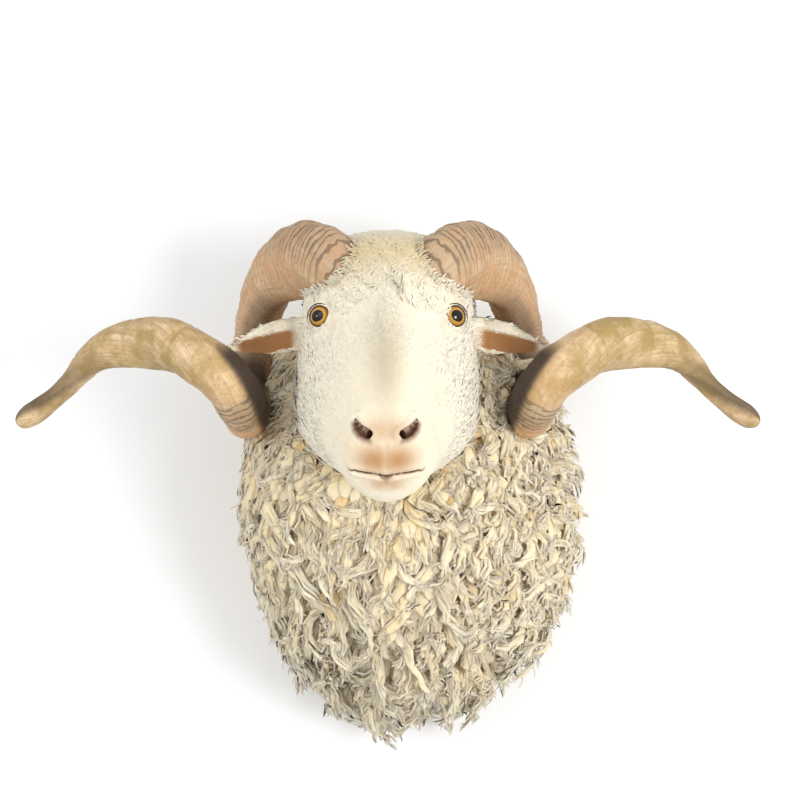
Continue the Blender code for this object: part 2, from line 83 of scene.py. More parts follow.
# Sections of the head, as in the solids: along, top, widest height, bottom, half width,
# fullness of the upper half, of the lower half
HEAD_SECTIONS = (
    (-0.128, -0.020, -0.050, -0.085, 0.036, 2.0, 2.0),
    (-0.112, 0.014, -0.045, -0.120, 0.064, 2.2, 2.2),
    (-0.088, 0.033, -0.040, -0.138, 0.080, 2.3, 2.4),
    (-0.050, 0.050, -0.042, -0.140, 0.086, 2.3, 2.6),
    (0.000, 0.057, -0.050, -0.136, 0.088, 1.85, 2.8),
    (0.040, 0.060, -0.056, -0.130, 0.088, 1.45, 2.9),
    (0.080, 0.060, -0.058, -0.121, 0.083, 1.45, 3.0),
    (0.120, 0.056, -0.050, -0.104, 0.068, 1.70, 2.5),
    (0.155, 0.050, -0.036, -0.084, 0.053, 2.0, 1.8),
    (0.180, 0.045, -0.020, -0.068, 0.047, 2.3, 1.6),
    (0.198, 0.037, -0.010, -0.055, 0.041, 2.5, 1.7),
    (0.208, 0.026, -0.008, -0.044, 0.033, 2.3, 1.8),
    (0.2135, 0.014, -0.009, -0.032, 0.022, 2.1, 1.9),
    (0.2160, 0.004, -0.0095, -0.021, 0.010, 2.0, 2.0),
)
# The curl of a horn: turn in degrees, distance out, curl radius, centre y, centre z, radial
# width, sideways width
HORN_CURL = (
    (-42.0, 0.046, 0.072, -0.243, 0.210, 0.082, 0.060),
    (0.0, 0.087, 0.075, -0.245, 0.209, 0.081, 0.061),
    (50.0, 0.129, 0.077, -0.246, 0.209, 0.076, 0.052),
    (110.0, 0.147, 0.078, -0.247, 0.209, 0.070, 0.046),
    (180.0, 0.145, 0.074, -0.250, 0.206, 0.063, 0.047),
    (230.0, 0.154, 0.054, -0.262, 0.187, 0.060, 0.051),
    (285.0, 0.183, 0.036, -0.270, 0.168, 0.057, 0.052),
    (345.0, 0.228, 0.034, -0.270, 0.164, 0.055, 0.047),
    (405.0, 0.298, 0.035, -0.266, 0.164, 0.045, 0.034),
    (470.0, 0.350, 0.034, -0.262, 0.154, 0.035, 0.022),
    (525.0, 0.384, 0.033, -0.258, 0.150, 0.025, 0.014),
)
# Sections of the neck and chest: nape y, nape z, throat y, throat z, half width, shift
BODY_SECTIONS = (
    (-0.0186, 0.186, -0.0186, -0.158, 0.138, 0.000),
    (-0.070, 0.204, -0.088, -0.166, 0.152, 0.000),
    (-0.115, 0.212, -0.165, -0.138, 0.152, -0.003),
    (-0.150, 0.222, -0.222, -0.088, 0.138, -0.009),
    (-0.175, 0.232, -0.258, -0.034, 0.119, -0.016),
    (-0.195, 0.236, -0.280, 0.022, 0.098, -0.022),
    (-0.212, 0.230, -0.285, 0.070, 0.076, -0.0265),
)


def through(table: object, places: np.ndarray) -> np.ndarray:
    """Rows between the rows of a table, on a smooth curve.

    Args:
        table: rows of numbers, equally far apart.
        places: where along the table, from 0 to 1.

    Returns:
        One row of numbers for each place, along a last axis.
    """
    rows = np.asarray(table, float)
    place = np.clip(places, 0.0, 1.0) * (len(rows) - 1)
    i = np.minimum(place.astype(int), len(rows) - 2)
    t = (place - i)[..., None]
    before, after = rows[np.maximum(i - 1, 0)], rows[np.minimum(i + 2, len(rows) - 1)]
    start, end = rows[i], rows[i + 1]
    lean_in = (end - before) / np.where(i > 0, 2, 1)[..., None]
    lean_out = (after - start) / np.where(i + 2 < len(rows), 2, 1)[..., None]
    curve = start * (2 * t**3 - 3 * t**2 + 1) + lean_in * (t**3 - 2 * t**2 + t)
    return curve + end * (3 * t**2 - 2 * t**3) + lean_out * (t**3 - t**2)


def bulge(value: np.ndarray, power: object) -> np.ndarray:
    """A power of a sine or cosine that keeps its sign."""
    return np.copysign(np.abs(value) ** power, value)


def unit(vectors: np.ndarray) -> np.ndarray:
    """The same directions with a length of one."""
    return vectors / np.maximum(np.linalg.norm(vectors, axis=-1, keepdims=True), 1e-9)


def ease(low: float, high: float, value: np.ndarray) -> np.ndarray:
    """0 up to low and 1 from high, with a soft step between."""
    t = np.clip((value - low) / (high - low), 0.0, 1.0)
    return t * t * (3 - 2 * t)


def from_head(side: np.ndarray, along: np.ndarray, above: np.ndarray) -> np.ndarray:
    """Points in the head's own frame, as points in space."""
    sine, cosine = math.sin(HEAD_PITCH), math.cos(HEAD_PITCH)
    side, along, above = np.broadcast_arrays(side, along, above)
    turned = (side, -cosine * along - sine * above, cosine * above - sine * along)
    return EYE_LINE + np.stack(turned, -1)


def to_head(points: np.ndarray) -> np.ndarray:
    """Points in space, as side, along and above in the head's own frame."""
    sine, cosine = math.sin(HEAD_PITCH), math.cos(HEAD_PITCH)
    x, y, z = np.moveaxis(points - EYE_LINE, -1, 0)
    return np.stack((x, -cosine * y - sine * z, cosine * z - sine * y), -1)


def linear(code: str) -> tuple[float, float, float, float]:
    """An sRGB hex colour as the linear colour that a socket takes."""
    parts = [int(code[k : k + 2], 16) / 255 for k in (1, 3, 5)]
    bright = [c / 12.92 if c <= 0.04045 else ((c + 0.055) / 1.055) ** 2.4 for c in parts]
    return (*bright, 1.0)


def add_node(
    tree: bpy.types.NodeTree, kind: str, inputs: dict | None = None, stops: tuple = (), **settings
) -> bpy.types.Node:
    """Adds one node with its settings and links.

    Args:
        tree: the material's node tree.
        kind: the node's type.
        inputs: socket name or number, to a value or to the output that feeds it.
        stops: places and hex colours of a colour ramp.
        **settings: the node's own options.

    Returns:
        The node.
    """
    node = tree.nodes.new(kind)
    for name, value in settings.items():
        setattr(node, name, value)
    for name, value in (inputs or {}).items():
        if isinstance(value, bpy.types.NodeSocket):
            tree.links.new(value, node.inputs[name])
        elif isinstance(value, str):
            node.inputs[name].default_value = linear(value)
        else:
            node.inputs[name].default_value = value
    for i, (place, code) in enumerate(stops):
        bar = node.color_ramp.elements
        mark = bar[i] if i < len(bar) else bar.new(place)
        mark.position = place
        mark.color = linear(code)
    return node


@dataclass(frozen=True)
class Finish:
    """A finish: what the surface is made of, and its shine."""

    name: str
    roughness: float
    sheen: float = 0.0
    coat: float = 0.0
    ior: float = 1.5
    through: float = 0.0
    gloss: float = 0.5

    def material(self) -> bpy.types.Material:
        """The finish's material, made on first use."""
        found = bpy.data.materials.get(self.name)
        if found:
            return found
        made = bpy.data.materials.new(self.name)
        made.use_nodes = True
        tree = made.node_tree
        shader = tree.nodes["Principled BSDF"]
        shader.inputs["Roughness"].default_value = self.roughness
        shader.inputs["IOR"].default_value = self.ior
        shader.inputs["Specular IOR Level"].default_value = self.gloss
        shader.inputs["Sheen Weight"].default_value = self.sheen
        shader.inputs["Sheen Roughness"].default_value = 0.5
        shader.inputs["Coat Weight"].default_value = self.coat
        shader.inputs["Subsurface Weight"].default_value = self.through
        shader.inputs["Subsurface Radius"].default_value = (1.0, 0.97, 0.92)
        shader.inputs["Subsurface Scale"].default_value = 0.007
        shader.inputs["Coat Roughness"].default_value = 0.03
        self.dress(tree, shader)
        return made

    def dress(self, tree: bpy.types.NodeTree, shader: bpy.types.Node) -> None:
        """Adds the colour and the relief. Each finish has its own."""

    def bump(self, tree, shader, height, strength: float, distance: float) -> None:
        """Turns a height into relief on the shader, distance deep in metres."""
        levels = {"Strength": strength, "Distance": distance, "Height": height}
        relief = add_node(tree, "ShaderNodeBump", levels)
        tree.links.new(relief.outputs["Normal"], shader.inputs["Normal"])


@dataclass(frozen=True)
class Wool(Finish):
    """Long wool, washed and dried on the skin: crimped fibres that lie together in locks.

    The eye sees cream locks, paler at their tips and yellower with grease near the skin; the ramp also paints shade
    deep between the locks and light on their tips.
    """

    tip: str = "#FAE9CA"
    shaft: str = "#F6DFB6"
    # root: partly the grease's yellow, partly painted shade where the roots lie deep between the locks
    root: str = "#E9B97C"
    stain: str = "#E8C488"

    def dress(self, tree: bpy.types.NodeTree, shader: bpy.types.Node) -> None:
        """Colour from root to tip, with stained patches, and fibres as fine relief."""
        tuft = add_node(tree, "ShaderNodeAttribute", attribute_name="Tuft")
        parts = add_node(tree, "ShaderNodeSeparateXYZ", {0: tuft.outputs["Vector"]})
        # Partly painted light and shade: darker and warmer towards the root, where the gaps between locks lie in
        # shade, paler at the lit tips.
        length = add_node(
            tree,
            "ShaderNodeValToRGB",
            {0: parts.outputs["Y"]},
            stops=((0.0, self.root), (0.30, self.shaft), (1.0, self.tip)),
        )
        place = add_node(tree, "ShaderNodeTexCoord")
        patch = add_node(
            tree,
            "ShaderNodeTexNoise",
            {"Vector": place.outputs["Object"], "Scale": 22.0, "Detail": 3.0},
        )
        share = add_node(
            tree,
            "ShaderNodeMapRange",
            {0: patch.outputs["Fac"], 1: 0.50, 2: 0.68, 3: 0.0, 4: 0.35},
        )
        stained = add_node(
            tree,
            "ShaderNodeMix",
            {0: share.outputs[0], 6: length.outputs["Color"], 7: self.stain},
            data_type="RGBA",
        )
        level = add_node(
            tree, "ShaderNodeMapRange", {0: parts.outputs["X"], 1: 0.0, 2: 1.0, 3: 1.00, 4: 1.06}
        )
        toned = add_node(
            tree,
            "ShaderNodeVectorMath",
            {0: stained.outputs[2], "Scale": level.outputs[0]},
            operation="SCALE",
        )
        tree.links.new(toned.outputs[0], shader.inputs["Base Color"])
        curls = add_node(
            tree,
            "ShaderNodeTexNoise",
            {
                "Vector": place.outputs["Object"],
                "Scale": 420.0,
                "Detail": 3.0,
                "Roughness": 0.6,
                "Distortion": 1.2,
            },
        )
        self.bump(tree, shader, curls.outputs["Fac"], 0.65, 0.0018)


@dataclass(frozen=True)
class FaceHair(Finish):
    """Short white kemp on the face, brushed flat: it looks matt, with the skin's tint under it and painted shade
    towards the roots of the hairs.
    """

    hair: str = "#FAF1DC"
    # shade: painted shade, the hair's colour near its roots where shade falls between the hairs
    shade: str = "#EFDFBE"
    nose: str = "#B48250"
    bridge: str = "#C2B69A"
    stain: str = "#DEC897"
    # bare: the bare skin's own dark colour, also used as painted shade in the nostrils and along the mouth's line
    bare: str = "#5A3019"

    def dress(self, tree: bpy.types.NodeTree, shader: bpy.types.Node) -> None:
        """The markings, which hair and skin share, with a fine grain of hair as relief."""
        marks = add_node(tree, "ShaderNodeAttribute", attribute_name="Marks")
        parts = add_node(tree, "ShaderNodeSeparateXYZ", {0: marks.outputs["Vector"]})
        tuft = add_node(tree, "ShaderNodeAttribute", attribute_name="Tuft")
        shares = add_node(tree, "ShaderNodeSeparateXYZ", {0: tuft.outputs["Vector"]})
        # Painted shade: each tuft darkens towards its root over the first 45% of its length.
        length = add_node(
            tree,
            "ShaderNodeMapRange",
            {0: shares.outputs["Y"], 1: 0.0, 2: 0.45, 3: 0.0, 4: 1.0},
        )
        colour = add_node(
            tree,
            "ShaderNodeMix",
            {0: length.outputs[0], 6: self.shade, 7: self.hair},
            data_type="RGBA",
        ).outputs[2]
        for axis, code in (("Y", self.bridge), ("Z", self.stain), ("X", self.nose)):
            colour = add_node(
                tree,
                "ShaderNodeMix",
                {0: parts.outputs[axis], 6: colour, 7: code},
                data_type="RGBA",
            ).outputs[2]
        colour = add_node(
            tree,
            "ShaderNodeMix",
            {0: shares.outputs["Z"], 6: colour, 7: self.bare},
            data_type="RGBA",
        ).outputs[2]
        lie = add_node(tree, "ShaderNodeAttribute", attribute_name="Lie")
        grain = add_node(
            tree,
            "ShaderNodeTexNoise",
            {"Vector": lie.outputs["Vector"], "Scale": 1.0, "Detail": 3.0, "Roughness": 0.6},
        )
        fleck = add_node(
            tree, "ShaderNodeMapRange", {0: grain.outputs["Fac"], 1: 0.3, 2: 0.7, 3: -0.05, 4: 0.03}
        )
        own = add_node(
            tree, "ShaderNodeMapRange", {0: shares.outputs["X"], 1: 0.0, 2: 1.0, 3: 0.90, 4: 1.05}
        )
        level = add_node(
            tree, "ShaderNodeMath", {0: own.outputs[0], 1: fleck.outputs[0]}, operation="ADD"
        )
        toned = add_node(
            tree,
            "ShaderNodeVectorMath",
            {0: colour, "Scale": level.outputs[0]},
            operation="SCALE",
        )
        tree.links.new(toned.outputs[0], shader.inputs["Base Color"])
        self.bump(tree, shader, grain.outputs["Fac"], 0.5, 0.0016)


@dataclass(frozen=True)
class Horn(Finish):
    """Ram's horn, grown in yearly rings and weathered outdoors: dull, fibrous and banded."""

    pale: str = "#E6CDA6"
    tan: str = "#D4B389"
    brown: str = "#A07C53"
    # dark: the grooves' dirt, and also painted shade on the horn's inner side
    dark: str = "#3A2A20"
    olive: str = "#A68A50"
    grey: str = "#8C7A66"
    orange: str = "#D6A678"

    def dress(self, tree: bpy.types.NodeTree, shader: bpy.types.Node) -> None:
        """Bands across the horn, fibres along it, dark grooves, and painted shade on its inner side."""
        skin = add_node(tree, "ShaderNodeAttribute", attribute_name="Growth")
        parts = add_node(tree, "ShaderNodeSeparateXYZ", {0: skin.outputs["Vector"]})
        grown = add_node(tree, "ShaderNodeUVMap", uv_map="Grain")
        place = add_node(tree, "ShaderNodeTexCoord")
        band_map = add_node(
            tree, "ShaderNodeMapping", {"Vector": grown.outputs[0], "Scale": (0.35, 1.0, 1.0)}
        )
        wrinkles = add_node(
            tree,
            "ShaderNodeTexWave",
            {
                "Vector": band_map.outputs[0],
                "Scale": 58.0,
                "Distortion": 9.0,
                "Detail": 4.0,
                "Detail Scale": 1.1,
                "Detail Roughness": 0.62,
            },
            bands_direction="Y",
        )
        streak_map = add_node(
            tree, "ShaderNodeMapping", {"Vector": grown.outputs[0], "Scale": (420.0, 12.0, 1.0)}
        )
        streaks = add_node(
            tree,
            "ShaderNodeTexNoise",
            {"Vector": streak_map.outputs[0], "Scale": 1.0, "Detail": 4.0, "Roughness": 0.65},
        )
        mottle = add_node(
            tree,
            "ShaderNodeTexNoise",
            {"Vector": place.outputs["Object"], "Scale": 34.0, "Detail": 6.0, "Roughness": 0.65},
        )
        speckle = add_node(
            tree,
            "ShaderNodeTexNoise",
            {"Vector": place.outputs["Object"], "Scale": 240.0, "Detail": 3.0},
        )
        tone = add_node(
            tree,
            "ShaderNodeValToRGB",
            {0: streaks.outputs["Fac"]},
            stops=((0.25, self.brown), (0.45, self.tan), (0.70, self.pale)),
        )
        patch = add_node(
            tree, "ShaderNodeMapRange", {0: mottle.outputs["Fac"], 1: 0.36, 2: 0.58, 3: 0.0, 4: 0.95}
        )
        ground = add_node(
            tree,
            "ShaderNodeMix",
            {0: parts.outputs["X"], 6: self.orange, 7: self.olive},
            data_type="RGBA",
        )
        mottled = add_node(
            tree,
            "ShaderNodeMix",
            {0: patch.outputs[0], 6: tone.outputs["Color"], 7: ground.outputs[2]},
            data_type="RGBA",
        )
        dots = add_node(
            tree, "ShaderNodeMapRange", {0: speckle.outputs["Fac"], 1: 0.55, 2: 0.68, 3: 0.0, 4: 0.50}
        )
        dotted = add_node(
            tree,
            "ShaderNodeMix",
            {0: dots.outputs[0], 6: mottled.outputs[2], 7: self.brown},
            data_type="RGBA",
        )
        crease = add_node(
            tree, "ShaderNodeMapRange", {0: wrinkles.outputs["Fac"], 1: 0.30, 2: 0.02, 3: 0.0, 4: 1.0}
        )
        dirty = add_node(
            tree, "ShaderNodeMapRange", {0: parts.outputs["Y"], 1: 0.0, 2: 1.0, 3: 0.0, 4: 0.62}
        )
        depth = add_node(
            tree,
            "ShaderNodeMath",
            {0: crease.outputs[0], 1: dirty.outputs[0]},
            operation="MULTIPLY",
        )
        weathered = add_node(
            tree, "ShaderNodeMath", {0: parts.outputs["Y"], 1: 0.45}, operation="MULTIPLY"
        )
        greyed = add_node(
            tree,
            "ShaderNodeMix",
            {0: weathered.outputs[0], 6: dotted.outputs[2], 7: self.grey},
            data_type="RGBA",
        )
        grooved = add_node(
            tree,
            "ShaderNodeMix",
            {0: depth.outputs[0], 6: greyed.outputs[2], 7: self.dark},
            data_type="RGBA",
        )
        # Painted shade: the horn's inner side is darkened where shade falls on it.
        inner = add_node(
            tree,
            "ShaderNodeMix",
            {0: parts.outputs["Z"], 6: grooved.outputs[2], 7: self.dark},
            data_type="RGBA",
        )
        tree.links.new(inner.outputs[2], shader.inputs["Base Color"])
        relief = add_node(
            tree,
            "ShaderNodeMath",
            {0: depth.outputs[0], 1: -1.2, 2: streaks.outputs["Fac"]},
            operation="MULTIPLY_ADD",
        )
        self.bump(tree, shader, relief.outputs[0], 0.6, 0.0014)


@dataclass(frozen=True)
class GlassEye(Finish):
    """A blown glass eye with its iris and pupil painted on the back: wet-looking and deep."""

    rim: str = "#1B120B"
    outer: str = "#80561C"
    amber: str = "#B5822B"
    inner: str = "#C9993C"
    pupil: str = "#050404"
    white: str = "#241A14"

    def dress(self, tree: bpy.types.NodeTree, shader: bpy.types.Node) -> None:
        """Rings of colour by the distance from the middle of the iris, with fine spokes."""
        growth = add_node(tree, "ShaderNodeAttribute", attribute_name="Iris")
        parts = add_node(tree, "ShaderNodeSeparateXYZ", {0: growth.outputs["Vector"]})
        spokes = add_node(
            tree,
            "ShaderNodeTexNoise",
            {"Vector": growth.outputs["Vector"], "Scale": 3.0, "Detail": 4.0},
        )
        wavy = add_node(
            tree,
            "ShaderNodeMath",
            {0: spokes.outputs["Fac"], 1: 0.10, 2: parts.outputs["X"]},
            operation="MULTIPLY_ADD",
        )
        rings = add_node(
            tree,
            "ShaderNodeValToRGB",
            {0: wavy.outputs[0]},
            stops=(
                (0.0, self.pupil),
                (0.47, self.pupil),
                (0.50, self.inner),
                (0.64, self.amber),
                (0.76, self.outer),
                (0.85, self.rim),
                (0.92, self.white),
            ),
        )
        tree.links.new(rings.outputs["Color"], shader.inputs["Base Color"])


@dataclass(frozen=True)
class Plywood(Finish):
    """Bare birch plywood, sawn to shape and sanded: pale faces, and plies along its edge."""

    face: str = "#CDA873"
    line: str = "#A97F4C"
    glue: str = "#7C5A35"

    def dress(self, tree: bpy.types.NodeTree, shader: bpy.types.Node) -> None:
        """Long grain up the faces and bands of ply through the thickness."""
        place = add_node(tree, "ShaderNodeTexCoord")
        grain_map = add_node(
            tree,
            "ShaderNodeMapping",
            {"Vector": place.outputs["Object"], "Scale": (160.0, 160.0, 7.0)},
        )
        grain = add_node(
            tree,
            "ShaderNodeTexNoise",
            {"Vector": grain_map.outputs[0], "Scale": 1.0, "Detail": 4.0},
        )
        tone = add_node(
            tree,
            "ShaderNodeValToRGB",
            {0: grain.outputs["Fac"]},
            stops=((0.35, self.line), (0.60, self.face)),
        )
        plies = add_node(
            tree,
            "ShaderNodeTexWave",
            {"Vector": place.outputs["Object"], "Scale": 70.0},
            bands_direction="Y",
        )
        edge = add_node(
            tree, "ShaderNodeMapRange", {0: plies.outputs["Fac"], 1: 0.75, 2: 0.95, 3: 0.0, 4: 0.6}
        )
        banded = add_node(
            tree,
            "ShaderNodeMix",
            {0: edge.outputs[0], 6: tone.outputs["Color"], 7: self.glue},
            data_type="RGBA",
        )
        tree.links.new(banded.outputs[2], shader.inputs["Base Color"])
        self.bump(tree, shader, grain.outputs["Fac"], 0.3, 0.0003)


@dataclass(frozen=True)
class Plain(Finish):
    """One even colour with a faint mottle, for a rim of skin or a painted wall."""

    colour: str = "#FFFFFF"
    mottle: str = "#F4F4F2"
    scale: float = 8.0
    glow: float = 0.0
    gain: float = 1.0

    def dress(self, tree: bpy.types.NodeTree, shader: bpy.types.Node) -> None:
        """The colour with its mottle."""
        place = add_node(tree, "ShaderNodeTexCoord")
        cloud = add_node(
            tree, "ShaderNodeTexNoise", {"Vector": place.outputs["Object"], "Scale": self.scale}
        )
        tone = add_node(
            tree,
            "ShaderNodeMix",
            {0: cloud.outputs["Fac"], 6: self.colour, 7: self.mottle},
            data_type="RGBA",
        )
        gained = add_node(
            tree, "ShaderNodeVectorMath", {0: tone.outputs[2], "Scale": self.gain}, operation="SCALE"
        )
        tree.links.new(gained.outputs[0], shader.inputs["Base Color"])
        shader.inputs["Emission Color"].default_value = linear(self.colour)
        shader.inputs["Emission Strength"].default_value = self.glow


WOOL = Wool("long_wool", 0.90, through=0.6, gloss=0.08)
FACE_HAIR = FaceHair("short_face_hair", 0.80, sheen=0.08, gloss=0.25)
HORN = Horn("weathered_horn", 0.52)
EYE_GLASS = GlassEye("painted_glass_eye", 0.10, coat=1.0, gloss=0.0)
PLYWOOD = Plywood("birch_plywood", 0.70)
LID_SKIN = Plain("dark_lid_rim", 0.45, colour="#4A3A30", mottle="#2C211B", scale=400.0)
WALL_PAINT = Plain("white_wall_paint", 0.90, colour="#FFFFFF", mottle="#FBFBFB", glow=0.02, gain=0.9)


def new_piece(name: str, mesh: bpy.types.Mesh, finish: Finish) -> object:
    """Puts a mesh in the scene as a named piece that rides on the mount.

    Args:
        name: the piece's name.
        mesh: its mesh, in place.
        finish: what it is made of.

    Returns:
        The object.
    """
    mesh.name = name
    mesh.materials.clear()
    mesh.materials.append(finish.material())
    mesh.shade_smooth()
    obj = bpy.data.objects.new(name, mesh)
    bpy.context.scene.collection.objects.link(obj)
    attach(obj, BODY)
    LOG.info("%s: %d faces", name, len(mesh.polygons))
    return obj


def coordinates(mesh: bpy.types.Mesh) -> np.ndarray:
    """The mesh's points as an array."""
    flat = np.empty(len(mesh.vertices) * 3, np.float32)
    mesh.vertices.foreach_get("co", flat)
    return flat.reshape(-1, 3).astype(float)


def move_points(mesh: bpy.types.Mesh, points: np.ndarray) -> None:
    """Moves the mesh's points to new places."""
    mesh.vertices.foreach_set("co", points.astype(np.float32).ravel())
    mesh.update()


def normals(mesh: bpy.types.Mesh) -> np.ndarray:
    """The mesh's smooth normals, one for each point."""
    flat = np.empty(len(mesh.vertices) * 3, np.float32)
    mesh.vertex_normals.foreach_get("vector", flat)
    return flat.reshape(-1, 3).astype(float)


def write_vectors(mesh: bpy.types.Mesh, name: str, values: np.ndarray) -> None:
    """Keeps three numbers for each point of the mesh, for its material to read."""
    layer = mesh.attributes.new(name, "FLOAT_VECTOR", "POINT")
    layer.data.foreach_set("vector", values.astype(np.float32).ravel())


def lofted(rings: int, sides: int, place) -> tuple[bpy.types.Mesh, np.ndarray, np.ndarray]:
    """A closed form: a ball whose rows are drawn onto sections along a line.

    Args:
        rings: how many sections it has.
        sides: how many points each section has.
        place: gives the points for arrays of shares along, from 0 to 1, and of angles round.

    Returns:
        The mesh, and for each of its points the share along and the angle round.
    """
    shape = bmesh.new()
    bmesh.ops.create_uvsphere(shape, u_segments=sides, v_segments=rings + 1, radius=1.0)
    mesh = bpy.data.meshes.new("form")
    shape.to_mesh(mesh)
    shape.free()
    ball = coordinates(mesh)
    row = np.rint(np.arccos(np.clip(ball[:, 2], -1, 1)) * (rings + 1) / math.pi)
    share = np.clip((row - 1) / (rings - 1), 0.0, 1.0)
    turn = np.arctan2(ball[:, 1], ball[:, 0]) % (2 * math.pi)
    points = place(share, turn)
    for pole, ring in ((0, 1), (rings + 1, rings)):
        points[row == pole] = points[row == ring].mean(0)
    move_points(mesh, points)
    shape = bmesh.new()
    shape.from_mesh(mesh)
    bmesh.ops.recalc_face_normals(shape, faces=shape.faces)
    shape.to_mesh(mesh)
    shape.free()
    return mesh, share, turn


def combine(target: bpy.types.Mesh, operation: str, other: bpy.types.Mesh) -> bpy.types.Mesh:
    """Joins one closed mesh with another or cuts it with the other.

    Args:
        target: the mesh that is kept.
        operation: UNION or DIFFERENCE.
        other: the mesh that joins or cuts it, which is used up.

    Returns:
        The result, as a new mesh.
    """
    body = bpy.data.objects.new("body", target)
    tool = bpy.data.objects.new("tool", other)
    for obj in (body, tool):
        bpy.context.scene.collection.objects.link(obj)
    step = body.modifiers.new("step", "BOOLEAN")
    step.operation = operation
    step.solver = "MANIFOLD"
    step.object = tool
    graph = bpy.context.evaluated_depsgraph_get()
    result = bpy.data.meshes.new_from_object(body.evaluated_get(graph))
    for spare in (target, other):
        bpy.data.meshes.remove(spare)
    return result


def surface_of(mesh: bpy.types.Mesh) -> BVHTree:
    """A searchable copy of a closed mesh."""
    shape = bmesh.new()
    shape.from_mesh(mesh)
    tree = BVHTree.FromBMesh(shape)
    shape.free()
    return tree


def nearest(tree: BVHTree, points: np.ndarray) -> tuple[np.ndarray, np.ndarray, np.ndarray]:
    """The nearest places on a surface.

    Args:
        tree: the surface.
        points: the points to search from.

    Returns:
        The nearest points, their normals, and how far outside the surface each point is.
    """
    flat = points.reshape(-1, 3)
    found = np.empty_like(flat)
    normal = np.empty_like(flat)
    for i, point in enumerate(flat):
        hit = tree.find_nearest(point)
        found[i], normal[i] = hit[0], hit[1]
    height = np.einsum("ij,ij->i", flat - found, normal)
    distance = np.copysign(np.linalg.norm(flat - found, axis=1), height)
    return found.reshape(points.shape), normal.reshape(points.shape), distance.reshape(points.shape[:-1])


def push_out(tree: BVHTree, points: np.ndarray, margin: float, reach: float) -> np.ndarray:
    """Moves points that lie in or close over a surface out to a margin over it.

    Args:
        tree: the surface.
        points: the points, in rows.
        margin: how far over the surface they are moved.
        reach: how deep inside a point may lie and still be moved.

    Returns:
        The moved points.
    """
    found, normal, distance = nearest(tree, points)
    short = np.clip(margin - distance, 0.0, margin + reach)
    return points + normal * short[..., None]


